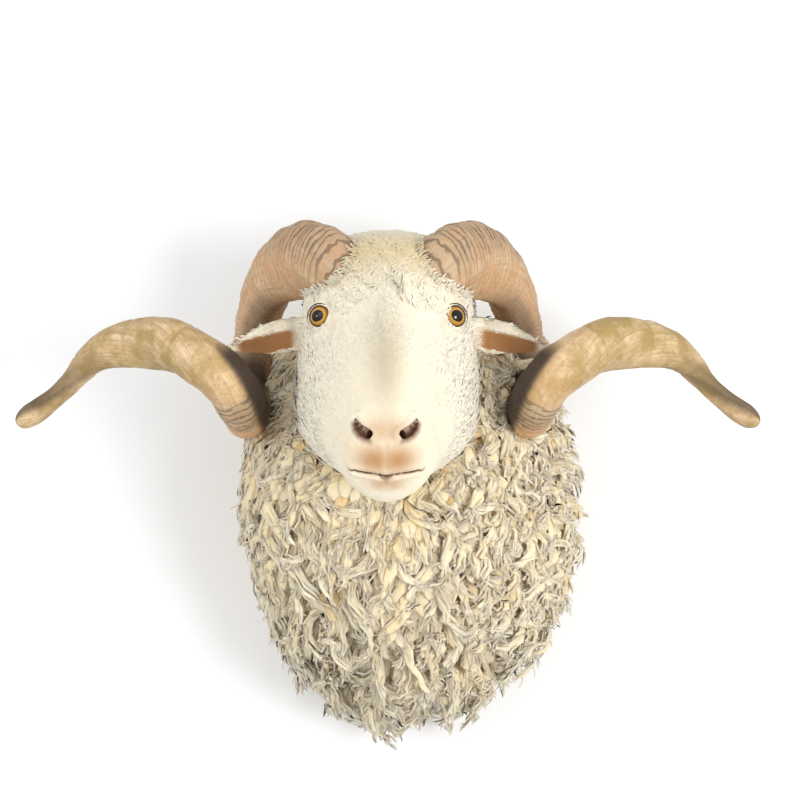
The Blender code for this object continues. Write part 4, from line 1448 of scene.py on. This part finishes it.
def scatter(chance: np.random.Generator, form: tuple, count: int, unroll) -> tuple[np.ndarray, ...]:
    """Spreads roots evenly over a form.

    Args:
        chance: the source of chance.
        form: a lofted form: its mesh, and each point's share along and angle round.
        count: how many roots there are.
        unroll: gives the place on the unwrap for roots, or None to read it from the form.

    Returns:
        The roots, the ways out of the form and the places on the unwrap.
    """
    mesh, share, angle = form
    points, out = coordinates(mesh), normals(mesh)
    mesh.calc_loop_triangles()
    corners = np.empty(len(mesh.loop_triangles) * 3, np.int32)
    mesh.loop_triangles.foreach_get("vertices", corners)
    corners = corners.reshape(-1, 3)
    a, b, c = (points[corners[:, k]] for k in range(3))
    area = np.linalg.norm(np.cross(b - a, c - a), axis=1)
    chosen = chance.choice(len(corners), count, p=area / area.sum())
    u, v = chance.uniform(0, 1, (2, count))
    fold = u + v > 1
    u, v = np.where(fold, 1 - u, u)[:, None], np.where(fold, 1 - v, v)[:, None]
    roots = a[chosen] * (1 - u - v) + b[chosen] * u + c[chosen] * v
    first = corners[chosen, 0]
    flat = np.stack((angle[first] / (2 * math.pi), share[first]), -1)
    bpy.data.meshes.remove(mesh)
    return roots, unit(out[first]), flat if unroll is None else unroll(roots)


def far_from(surfaces: dict[str, BVHTree], names: tuple, points: np.ndarray, least: float) -> np.ndarray:
    """Whether each point is at least this far outside all the named surfaces."""
    far = np.ones(len(points), bool)
    for name, surface in surfaces.items():
        if name.startswith(names):
            far &= nearest(surface, points)[2] > least
    return far


@dataclass
class Fleece:
    """Long wool in crimped locks: stringy and hanging on one side, in tighter curls on the other."""

    spacing: float = 0.0145
    row_step: float = 0.0150
    strands: int = 3
    steps: int = 11
    puffs: int = 1700
    curls: int = 17_000
    wisps: int = 1800
    seed: int = 5

    def roots(self, chance: np.random.Generator) -> tuple[np.ndarray, np.ndarray]:
        """Places of the locks, as shares along the trunk and angles round it."""
        shares, angles = [], []
        line = Trunk().place(np.linspace(0, 1, 200), np.full(200, math.pi))
        length = np.linalg.norm(np.diff(line, axis=0), axis=1).sum()
        rows = round(length / self.row_step)
        turns = np.linspace(0, 2 * math.pi, 97)
        for row in range(rows):
            share = 0.03 + 0.96 * (row + 0.5) / rows
            outline = Trunk().place(np.full(97, share), turns)
            steps = np.linalg.norm(np.diff(outline, axis=0), axis=1)
            count = round(steps.sum() / self.spacing)
            even = (np.arange(count) + 0.5 * (row % 2) + chance.uniform(-0.4, 0.4, count)) / count
            around = np.interp(even % 1.0, np.append(0, np.cumsum(steps)) / steps.sum(), turns)
            shares.append(share + chance.uniform(-0.4, 0.4, count) * 0.96 / rows)
            angles.append(around)
        return np.concatenate(shares), np.concatenate(angles)

    def lie(self, share: np.ndarray, angle: np.ndarray, root: np.ndarray) -> np.ndarray:
        """Which way the locks lie: back towards the wall and down, and away from the face."""
        trunk = Trunk()
        start = np.maximum(share, 0.05)
        back = unit(trunk.place(start - 0.02, angle) - trunk.place(start, angle))
        back = back * np.minimum(1.0, 0.25 + 2.2 * share)[:, None]
        away = unit((root - (HEAD_OFFSET, 0, 0.10)) * (1.0, 0, 1.0))
        spread = 0.45 + 1.5 * np.clip(0.40 - share, 0, None)
        return unit(back + np.array((0, 0, -0.75)) + spread[:, None] * away)

    def lines(self, chance, share, angle, surfaces) -> tuple[np.ndarray, ...]:
        """Middle lines of the locks and the way out of the skin along each."""
        root = Trunk().place(share, angle)
        lie = self.lie(share, angle, root)
        count = len(root)
        out = nearest(surfaces["trunk"], root)[1]
        stray = 0.25 * np.sin(root[:, :1] * 61 + root[:, 2:] * 43) + chance.normal(0, 0.20, (count, 1))
        lie = unit(lie + stray * np.cross(out, lie))
        curl = ease(-0.01, 0.08, root[:, 0] + chance.normal(0, 0.012, count))
        length = chance.uniform(0.056, 0.104, count) * (1 - 0.32 * curl)
        length *= 1 - 0.50 * ease(0.68, 1.0, share)
        under = ease(0.86, 0.97, -np.cos(angle)) * (1 - ease(0.20, 0.45, share))
        tassel = hill(root[:, 0] + 0.035, 0.030)
        length *= 1 - 0.42 * under * (1 - tassel)
        bulge_out = hill(root[:, 0] + 0.115, 0.045) * hill(root[:, 2] + 0.045, 0.045)
        length *= 1 + 0.22 * bulge_out
        height = chance.uniform(0.006, 0.030, count) * (1 - 0.45 * ease(0.75, 1.0, share))
        t = np.linspace(0, 1, self.steps)
        free = root[:, None, :] + lie[:, None, :] * (length[:, None] * t)[..., None]
        found, normal, _ = nearest(surfaces["trunk"], free)
        hang = np.clip(-normal[:, 0, 2], 0, 1)[:, None, None] * ease(0.0, 0.5, t)[None, :, None]
        lines = found + (free - found) * hang
        lift = height[:, None] * (1 - np.exp(-t / 0.16))[None, :]
        lift += chance.uniform(-0.006, 0.012, count)[:, None] * (t**2)[None, :]
        lift[:, 0] = -0.002
        lines += normal * lift[..., None]
        across = unit(np.cross(lie[:, None, :], normal))
        phase = chance.uniform(0, 6.28, (count, 1))
        sway = chance.uniform(-0.014, 0.014, (count, 1))
        swing = sway * np.sin(4.2 * t)[None, :] + 0.004 * (np.sin(7 * t[None, :] + phase) - np.sin(phase))
        coil = (0.0015 + 0.0040 * curl)[:, None] * ease(0.1, 0.4, t)[None, :]
        turn = 2 * math.pi * t[None, :] * (length / 0.028)[:, None] + phase
        swing += coil * np.sin(turn)
        lines += across * swing[..., None] + normal * (coil * 0.8 * np.cos(turn))[..., None]
        bend = chance.uniform(0.6, 3.4, (count, 1)) * np.clip((t - 0.62) / 0.38, 0, 1)[None, :] ** 1.3
        round_to = chance.choice((-1.0, 1.0), (count, 1)) * chance.uniform(0.0045, 0.0085, (count, 1))
        lines += across * (round_to * (1 - np.cos(bend)))[..., None]
        lines -= lie[:, None, :] * (np.abs(round_to) * (bend - np.sin(bend)))[..., None]
        return lines, normal, curl, length

    def clear(self, lines: np.ndarray, surfaces: dict[str, BVHTree], margin: float) -> np.ndarray:
        """Moves the lines out of the head, ears and horns, and off the wall."""
        for name, surface in surfaces.items():
            if name in ("trunk", "skin"):
                continue
            lines = push_out(surface, lines, margin, 0.030)
        lines[..., 1] = np.minimum(lines[..., 1], -WALL_CLEARANCE - margin)
        return lines

    def build(self, surfaces: dict[str, BVHTree]) -> None:
        """Grows the fleece."""
        chance = np.random.default_rng(self.seed)
        share, angle = self.roots(chance)
        root = Trunk().place(share, angle)
        open_to_air = far_from(surfaces, ("head", "ear", "horn"), root, -0.004)
        share, angle = share[open_to_air], angle[open_to_air]
        lines, normal, curl, length = self.lines(chance, share, angle, surfaces)
        lines = self.clear(lines, surfaces, 0.005)
        width = self.clump(chance, lines, normal, curl, length, share, angle)
        self.undercoat(chance, surfaces)
        self.small_curls(chance, lines, normal, width, share, angle)
        self.stray_wisps(chance, lines, share, angle)

    def clump(self, chance, lines, normal, curl, length, share, angle) -> np.ndarray:
        """Makes each lock: a felted middle, with crimped strands over it that part at its tip."""
        count = len(lines)
        t = np.linspace(0, 1, self.steps)
        ahead = unit(np.gradient(lines, axis=1))
        across = unit(np.cross(normal, ahead))
        over = np.cross(ahead, across)
        width = chance.uniform(0.0048, 0.0092, count) * (1 - 0.15 * curl)
        lump = chance.uniform(0, 6.28, (count, 2))
        lumpy = 1 + 0.20 * np.sin(13 * t[None] + lump[:, :1]) + 0.16 * np.sin(31 * t[None] + lump[:, 1:])
        blunt = np.sqrt(np.clip(1 - ((t - 0.84) / 0.175).clip(0) ** 2, 0.03, 1))
        profile = (0.62 + 0.38 * np.sin(math.pi * np.clip(t + 0.12, 0, 1)))[None] * lumpy
        profile *= (blunt * (1 - 0.35 * t**2))[None]
        body = width[:, None] * profile
        unwrapped = np.stack((angle / (2 * math.pi), share), -1)
        lock_tone = chance.uniform(0, 1, count)
        blank = np.zeros((count, 4))
        core = Tufts(lines, body * 0.86, unwrapped, lock_tone, blank, 0.75, normal[:, 0], 6, 0.5)
        core.pieces("fleece_felt", WOOL)
        twist = chance.uniform(-3.2, 3.2, (count, 1)) * t[None, :]
        wave_length = (0.019 - 0.005 * curl) * chance.uniform(0.8, 1.3, count)
        phase = chance.uniform(0, 2 * math.pi, (count, 1))
        swing = (0.0008 + 0.0012 * curl)[:, None] * ease(0.02, 0.25, t)[None, :]
        made, radii, tones = [], [], []
        for k in range(self.strands):
            turn = (k + 0.5 + chance.uniform(-0.3, 0.3, (count, 1))) / self.strands * 5.2 - 2.6 + twist
            reach = body * chance.uniform(0.68, 0.98, (count, 1))
            splay = 1 + 0.35 * ease(0.60, 1.0, t)[None, :] * chance.uniform(0.0, 1.6, (count, 1))
            wide = (reach * splay * np.sin(turn))[..., None] * across
            thick = (reach * splay * 0.78 * np.cos(turn))[..., None] * over
            along = 2 * math.pi * t[None, :] * (length / wave_length)[:, None] + phase
            crimp = np.sin(along + chance.uniform(-0.9, 0.9, (count, 1)))
            bend = (swing * crimp)[..., None] * over + (swing * np.cos(along))[..., None] * across
            hook = chance.uniform(-0.009, 0.009, (count, 1)) * ease(0.70, 1.0, t)[None, :] ** 2
            stretch = chance.uniform(0.86, 1.04, (count, 1, 1))
            strand = lines + wide + thick + bend + hook[..., None] * across
            strand = strand[:, :1] + (strand - strand[:, :1]) * stretch
            strand[..., 1] = np.minimum(strand[..., 1], -WALL_CLEARANCE)
            made.append(strand)
            taper = (0.80 + 0.20 * np.sin(math.pi * t)) * np.sqrt(np.clip(1 - t**6, 0.02, 1))
            knots = 1 + 0.25 * np.sin(23 * t[None] + chance.uniform(0, 6.28, (count, 1)))
            knots += chance.uniform(-0.15, 0.15, (count, len(t)))
            radii.append(chance.uniform(0.0017, 0.0031, (count, 1)) * taper[None, :] * knots)
            tones.append(np.clip(lock_tone * 0.6 + chance.uniform(0, 0.4, count), 0, 1))
        many = self.strands
        tufts = Tufts(np.concatenate(made), np.concatenate(radii), np.tile(unwrapped, (many, 1)),
                      np.concatenate(tones), np.tile(blank, (many, 1)), 0.85,
                      np.tile(normal[:, 0], (many, 1)), 3, 0.55)
        tufts.pieces("fleece_locks", WOOL)
        return body

    def small_curls(self, chance, lines, normal, width, share, angle) -> None:
        """Small bouncy curls over the outer side of every lock, with their ends tucked in."""
        number = self.curls
        lock = chance.integers(0, len(lines), number)
        start = chance.integers(1, self.steps - 1, number)
        between = chance.uniform(0, 1, (number, 1))
        root = lines[lock, start] * (1 - between) + lines[lock, start + 1] * between
        girth = width[lock, start][:, None]
        ahead = unit(lines[lock, start + 1] - lines[lock, start - 1])
        aside = chance.normal(0, 0.75, (number, 3)) + 1.1 * normal[lock, start]
        aside = unit(aside - ahead * (aside * ahead).sum(1, keepdims=True))
        across = np.cross(aside, ahead)
        t = np.linspace(0, 1, 5)
        length = chance.uniform(0.011, 0.022, (number, 1))
        phase = chance.uniform(0, 6.28, (number, 1))
        turns = chance.uniform(4.5, 8.5, (number, 1))
        sway = chance.uniform(0.0008, 0.0020, (number, 1)) * np.sin(turns * t[None, :] + phase)
        high = 0.0018 * np.sin(math.pi * np.clip(t * 1.04, 0, 1)) + 0.0004 * t
        high = high * chance.uniform(0.5, 1.3, (number, 1)) - 0.0008
        slant = chance.normal(0, 0.20, (number, 1))
        path = root[:, None] + aside[:, None] * (girth * 0.68 + high)[..., None]
        path = path + ahead[:, None] * (length * (t - 0.35))[..., None]
        path = path + across[:, None] * (sway + slant * length * t)[..., None]
        path[..., 1] = np.minimum(path[..., 1], -WALL_CLEARANCE)
        radii = chance.uniform(0.0007, 0.0015, (number, 1)) * (0.85 + 0.3 * np.sin(math.pi * t))[None, :]
        flat = np.stack((angle[lock] / (2 * math.pi), share[lock]), -1)
        tones = chance.uniform(0.2, 1.0, number)
        curls = Tufts(path, radii, flat, tones, np.zeros((number, 4)), 0.8, aside, 3, 0.85)
        curls.pieces("fleece_curls", WOOL)

    def undercoat(self, chance, surfaces) -> None:
        """Short felted puffs between the roots of the locks, so that no bare skin shows."""
        form = lofted(70, 120, lambda s, a: Trunk().place(0.02 + 0.97 * s, a))
        roots, out, flat = scatter(chance, form, self.puffs, None)
        keep = far_from(surfaces, ("head", "ear", "horn"), roots, -0.002)
        roots, out, flat = roots[keep], out[keep], flat[keep]
        count = len(roots)
        lie = self.lie(flat[:, 1], flat[:, 0] * 2 * math.pi, roots)
        t = np.linspace(0, 1, 6)
        length = chance.uniform(0.024, 0.044, (count, 1))
        lines = roots[:, None] + lie[:, None] * (length * t)[..., None]
        lines = lines + out[:, None] * (0.011 * np.sin(2.4 * t))[None, :, None]
        lines = self.clear(lines, surfaces, 0.004)
        radii = chance.uniform(0.007, 0.011, (count, 1)) * (0.7 + 0.6 * np.sin(math.pi * t) - 0.5 * t)
        puffs = Tufts(lines, radii, flat, chance.uniform(0, 0.6, count), np.zeros((count, 4)), 0.6, out, 6, 0.8)
        puffs.pieces("fleece_under", WOOL)

    def stray_wisps(self, chance, lines, share, angle) -> None:
        """Short curly fibres that stand off the locks, blunt as wool is when it felts."""
        lock = chance.integers(0, len(lines), self.wisps)
        start = chance.integers(2, self.steps - 1, self.wisps)
        root = lines[lock, start]
        ahead = unit(lines[lock, start + 1] - lines[lock, start - 1])
        t = np.linspace(0, 1, 5)
        aside = chance.normal(0, 1, (self.wisps, 3))
        aside = unit(aside - ahead * (aside * ahead).sum(1, keepdims=True))
        off = chance.uniform(0.0035, 0.0070, (self.wisps, 1))
        length = chance.uniform(0.008, 0.020, (self.wisps, 1))
        bend = chance.uniform(1.0, 4.5, (self.wisps, 1)) * t[None, :]
        curl = length / 4.0
        path = root[:, None] + aside[:, None] * (off * ease(0.0, 0.4, t)[None, :])[..., None]
        path = path + ahead[:, None] * (length * t * 0.7)[..., None]
        path = path + np.cross(aside, ahead)[:, None] * (curl * np.sin(bend))[..., None]
        path = path + aside[:, None] * (curl * (1 - np.cos(bend)) * 0.6)[..., None]
        path[..., 1] = np.minimum(path[..., 1], -WALL_CLEARANCE)
        radii = chance.uniform(0.0006, 0.0014, (self.wisps, 1)) * (1 - 0.35 * t**2)[None, :]
        flat = np.stack((angle[lock] / (2 * math.pi), share[lock]), -1)
        tones = chance.uniform(0.4, 1.0, self.wisps)
        wisps = Tufts(path, radii, flat, tones, np.zeros((self.wisps, 4)), ups=aside, soft=0.5)
        wisps.pieces("fleece_wisps", WOOL)


@dataclass
class FaceCoat:
    """The short hair of the face and ears, a ruff where it meets the fleece, and a wavy poll."""

    count: int = 54_000
    poll_count: int = 5200
    ruff_count: int = 9000
    lap_count: int = 1300
    ear_count: int = 2600
    seed: int = 9

    def unroll(self, roots: np.ndarray) -> np.ndarray:
        """Places on the unwrap of the head."""
        local = to_head(roots)
        turn = np.arctan2(local[:, 0], local[:, 2] + 0.03) / (2 * math.pi) % 1.0
        return np.stack((turn, (local[:, 1] + 0.13) / 0.345), -1)

    def marks(self, roots: np.ndarray) -> np.ndarray:
        """The markings of the skin under each tuft, with its bareness and painted shade."""
        return np.concatenate((markings(roots), bareness(roots)[:, None]), 1)

    def lie(self, chance, roots, out, splay: float, stray: float) -> np.ndarray:
        """Which way the hair lies: up the face and away from its middle."""
        local = to_head(roots)
        side = np.clip(local[:, 0] / 0.03, -1, 1) * (splay * ease(0.0, 0.03, local[:, 2]) + 0.15)
        lie = from_head(side, np.full(len(roots), -1.0), 0 * side) - EYE_LINE
        lie = unit(lie - out * (lie * out).sum(1, keepdims=True))
        return unit(lie + stray * np.cross(out, lie) * chance.normal(0, 1, (len(roots), 1)))

    def short_hair(self, chance, surfaces) -> None:
        """The hair of the face, shortest on the muzzle and round the eyes."""
        form = lofted(120, 140, Head().place)
        spots, _, _ = scatter(chance, form, self.count, self.unroll)
        roots, out, _ = nearest(surfaces["head"], spots)
        keep = far_from(surfaces, ("horn", "ear", "trunk"), roots, 0.0)
        for hand in Hand:
            local = (roots - eye_centre(hand)) @ eye_aim(hand)
            inside = (local[:, 0] / 0.0145) ** 2 + (local[:, 1] / 0.0127) ** 2 < 1
            keep &= ~(inside & (local[:, 2] > 0))
        local = to_head(roots)
        bore = np.array(Head().nostril)[:, :3]
        mirrored = np.abs(local) * (1, 0, 0) + local * (0, 1, 1)
        near = np.min([segment_distance(mirrored, p, q) for p, q in zip(bore, bore[1:])], 0)
        keep &= near > 0.0062
        roots, out = roots[keep], out[keep]
        count = len(roots)
        side, along, above = to_head(roots).T
        length = 0.0105 - 0.0050 * ease(0.08, 0.16, along) - 0.0024 * ease(0.17, 0.20, along)
        length += 0.0045 * ease(0.02, 0.08, -above) * (1 - ease(0.10, 0.17, along))
        length -= 0.0022 * ease(0.02, 0.05, above) * ease(0.03, 0.06, along)
        for hand in Hand:
            gap = np.linalg.norm(roots - eye_centre(hand), axis=1)
            length *= 0.36 + 0.64 * ease(0.017, 0.030, gap)
        length *= chance.uniform(0.7, 1.25, count)
        lie = self.lie(chance, roots, out, 0.55, 0.22)
        rise = 0.06 + chance.uniform(0, 0.10, count) + 0.20 * ease(0.02, 0.08, -above)
        rise += 0.22 * ease(0.050, 0.078, np.abs(side)) * (1 - ease(0.10, 0.14, along))
        t = np.array((0.0, 0.5, 1.0))
        ahead = unit(lie + out * rise[:, None])
        lines = (roots - 0.0004 * out)[:, None] + ahead[:, None] * (length[:, None] * t)[..., None]
        lines[:, 2] -= out * (length * rise * 0.45)[:, None]
        lines[:, 2] += np.cross(out, lie) * chance.normal(0, 0.12, (count, 1)) * length[:, None]
        girth = np.clip(length * 0.11, 0.0004, 0.0012)
        radii = girth[:, None] * np.array((0.8, 1.0, 0.0))
        tones = chance.uniform(0, 1, count)
        tufts = Tufts(lines, radii, self.unroll(roots), tones, self.marks(roots), 0.35, out, soft=0.85)
        tufts.pieces("face_hair", FACE_HAIR)

    def waves(self, name, chance, roots, out, flat, lie, length, rise, girth, surfaces, clear_of) -> None:
        """Longer wavy tufts that stand over the skin and are kept clear of the horns."""
        count = len(roots)
        t = np.linspace(0, 1, 6)
        phase = chance.uniform(0, 6.28, (count, 1))
        up = length * rise[:, None] * np.sin(2.8 * t)[None, :]
        lines = roots[:, None] + lie[:, None] * (length * t)[..., None] + out[:, None] * up[..., None]
        wave = length * 0.12 * (np.sin(6.5 * t[None, :] + phase) - np.sin(phase))
        lines = lines + np.cross(out, lie)[:, None] * wave[..., None]
        for key, surface in surfaces.items():
            if key.startswith(clear_of):
                lines = push_out(surface, lines, 0.0025, 0.020)
        radii = girth[:, None] * (0.8 + 0.4 * np.sin(math.pi * t) - 0.10 * t)[None, :]
        tones = chance.uniform(0, 1, count)
        tufts = Tufts(lines, radii, flat, tones, self.marks(roots), 0.6, out, soft=0.88)
        tufts.pieces(name, FACE_HAIR)

    def poll(self, chance, surfaces) -> None:
        """Wavy tufts on the forehead and between the horns, that lap over the horns' roots."""
        form = lofted(120, 140, Head().place)
        roots, out, _ = scatter(chance, form, self.poll_count * 7, self.unroll)
        local = to_head(roots)
        middle = 1 - 0.75 * ease(0.036, 0.056, np.abs(local[:, 0]))
        poll = ease(-0.050, 0.030, -local[:, 1]) * ease(-0.010, 0.020, local[:, 2]) * middle
        keep = far_from(surfaces, ("ear", "trunk"), roots, 0.0) & (chance.uniform(0, 1, len(roots)) < poll)
        keep &= far_from(surfaces, ("horn",), roots, 0.0005)
        roots, out = roots[keep][: self.poll_count], out[keep][: self.poll_count]
        count = len(roots)
        lie = self.lie(chance, roots, out, 0.5, 0.12)
        flow = np.sin(roots @ (310, 90, 150)) + 0.8 * np.sin(roots @ (-170, 260, 330) + 1.3)
        lie = unit(lie + 0.75 * np.cross(out, lie) * flow[:, None])
        length = chance.uniform(0.009, 0.017, (count, 1))
        rise, girth = chance.uniform(0.04, 0.14, count), chance.uniform(0.0009, 0.0016, count)
        self.waves("poll_tufts", chance, roots, out, self.unroll(roots), lie, length, rise, girth,
                   surfaces, ("horn",))

    def laps(self, chance, surfaces) -> None:
        """Tufts at the foot of each horn that climb a little way up it."""
        form = lofted(120, 140, Head().place)
        roots, out, _ = scatter(chance, form, self.lap_count * 12, self.unroll)
        local = to_head(roots)
        for hand in Hand:
            horn = surfaces[f"horn_{hand.word}"]
            foot, _, gap = nearest(horn, roots)
            near = (gap > -0.003) & (gap < 0.006) & (local[:, 2] > -0.005) & (local[:, 1] > -0.115)
            near &= far_from(surfaces, ("ear", "trunk"), roots, 0.0)
            start, way = roots[near][: self.lap_count], out[near][: self.lap_count]
            count = len(start)
            side = (hand.value, -0.2, 0.25)
            climb = unit(np.asarray(side) + 0.8 * way + chance.normal(0, 0.16, (count, 3)))
            length = chance.uniform(0.006, 0.011, (count, 1))
            rise, girth = chance.uniform(0.03, 0.10, count), chance.uniform(0.0006, 0.0011, count)
            self.waves(f"horn_foot_{hand.word}", chance, start, way, self.unroll(start), climb, length,
                       rise, girth, surfaces, ("horn",))

    def ruff(self, chance, surfaces) -> None:
        """Softer, shorter wool round the face, between the hair and the long locks."""
        form = lofted(120, 140, Head().place)
        roots, out, _ = scatter(chance, form, self.ruff_count * 3, self.unroll)
        gap = nearest(surfaces["trunk"], roots)[2]
        keep = (gap > -0.001) & (gap < 0.034) & (to_head(roots)[:, 1] < 0.19)
        keep &= far_from(surfaces, ("ear", "horn"), roots, 0.0)
        keep &= chance.uniform(0, 1, len(roots)) < 1 - 0.8 * ease(0.0, 0.034, gap)
        roots, out = roots[keep][: self.ruff_count], out[keep][: self.ruff_count]
        count = len(roots)
        lie = self.lie(chance, roots, out, 0.2, 0.45)
        length = chance.uniform(0.012, 0.026, (count, 1))
        rise, girth = chance.uniform(0.15, 0.38, count), chance.uniform(0.0007, 0.0013, count)
        self.waves("ruff", chance, roots, out, self.unroll(roots), lie, length, rise, girth,
                   surfaces, ("horn", "ear"))

    def ears(self, chance, surfaces) -> None:
        """Hair on the backs and rims of the ears."""
        for hand in Hand:
            ear = Ear(hand)
            roots, out, flat = scatter(chance, ear.mesh(), self.ear_count, None)
            keep = (ear.cup(roots) < 0.30) & far_from(surfaces, ("head", "horn"), roots, 0.0)
            roots, out, flat = roots[keep], out[keep], flat[keep]
            count = len(roots)
            lie = np.broadcast_to(unit(ear.frame()[1]), roots.shape)
            lie = unit(lie - out * (lie * out).sum(1, keepdims=True))
            lie = unit(lie + 0.18 * np.cross(out, lie) * chance.normal(0, 1, (count, 1)))
            length = chance.uniform(0.004, 0.009, (count, 1))
            rise, girth = chance.uniform(0.06, 0.16, count), chance.uniform(0.0004, 0.0007, count)
            self.waves(f"ear_hair_{hand.word}", chance, roots, out, flat, lie, length, rise, girth,
                       surfaces, ("horn",))

    def build(self, surfaces: dict[str, BVHTree]) -> None:
        """Grows the hair of the face and ears."""
        chance = np.random.default_rng(self.seed)
        self.short_hair(chance, surfaces)
        self.poll(chance, surfaces)
        self.laps(chance, surfaces)
        self.ruff(chance, surfaces)
        self.ears(chance, surfaces)


@dataclass
class Studio:
    """The white wall, the lights and the camera."""

    def wall(self) -> None:
        """A white wall that sweeps into a pale floor, far below."""
        shape = bmesh.new()
        bmesh.ops.create_grid(shape, x_segments=1, y_segments=1, size=3.0)
        turn = Matrix.Rotation(math.radians(90.0), 3, "X")
        bmesh.ops.rotate(shape, verts=shape.verts, matrix=turn)
        bmesh.ops.translate(shape, verts=shape.verts, vec=(0, 0.0015, 1.8))
        low = [e for e in shape.edges if all(v.co.z < -1 for v in e.verts)]
        spun = bmesh.ops.spin(
            shape, geom=low, cent=(0, -0.2985, -1.2), axis=(1, 0, 0), angle=-math.pi / 2, steps=16
        )
        edge = [g for g in spun["geom_last"] if isinstance(g, bmesh.types.BMEdge)]
        pushed = bmesh.ops.extrude_edge_only(shape, edges=edge)["geom"]
        moved = [g for g in pushed if isinstance(g, bmesh.types.BMVert)]
        bmesh.ops.translate(shape, verts=moved, vec=(0, -3.0, 0))
        mesh = bpy.data.meshes.new("wall")
        shape.to_mesh(mesh)
        shape.free()
        mesh.materials.append(WALL_PAINT.material())
        mesh.shade_smooth()
        wall = bpy.data.objects.new("wall", mesh)
        bpy.context.scene.collection.objects.link(wall)
        wall.visible_diffuse = wall.visible_glossy = wall.visible_shadow = False

    def light(self, name: str, place: tuple, size: float, power: float) -> None:
        """One large soft light that faces the mount."""
        data = bpy.data.lights.new(name, "AREA")
        data.shape, data.size, data.energy = "DISK", size, power
        lamp = bpy.data.objects.new(name, data)
        lamp.location = place
        aim = Vector((0, -0.2, 0.08)) - lamp.location
        lamp.rotation_euler = aim.to_track_quat("-Z", "Y").to_euler()
        bpy.context.scene.collection.objects.link(lamp)

    def camera(self) -> None:
        """The camera, level with the ram's face and square to the wall."""
        data = bpy.data.cameras.new("camera")
        data.lens, data.sensor_width = 72.0, 36.0
        camera = bpy.data.objects.new("camera", data)
        camera.location = (-0.014, -1.90, 0.14)
        camera.rotation_euler = (math.radians(90.0), 0, 0)
        bpy.context.scene.collection.objects.link(camera)
        bpy.context.scene.camera = camera

    def build(self) -> None:
        """Sets up the room."""
        world = bpy.data.worlds.new("room")
        world.use_nodes = True
        sky = world.node_tree.nodes["Background"]
        sky.inputs["Color"].default_value = linear("#F6F8FA")
        sky.inputs["Strength"].default_value = 0.87
        bpy.context.scene.world = world
        self.camera()
        self.wall()
        self.light("key", (1.25, -2.2, 0.02), 0.9, 30.0)
        self.light("fill", (-0.9, -2.2, 1.1), 1.8, 9.0)
        self.light("window", (-2.0, -1.6, 0.45), 0.5, 7.0)
        bpy.context.scene.view_settings.view_transform = "Standard"


def main() -> None:
    """Builds the whole mount in order."""
    logging.basicConfig(level=logging.INFO, format="%(name)s: %(message)s")
    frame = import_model()
    Studio().build()
    board = frame["nodes"]["back_board"]
    board.data.materials.clear()
    board.data.materials.append(PLYWOOD.material())
    surfaces = Skin().build()
    for hand in Hand:
        surfaces[f"horn_{hand.word}"] = HornHorn(hand).build()
        Eye(hand).build()
    Fleece().build(surfaces)
    FaceCoat().build(surfaces)


if __name__ == "__main__":
    main()
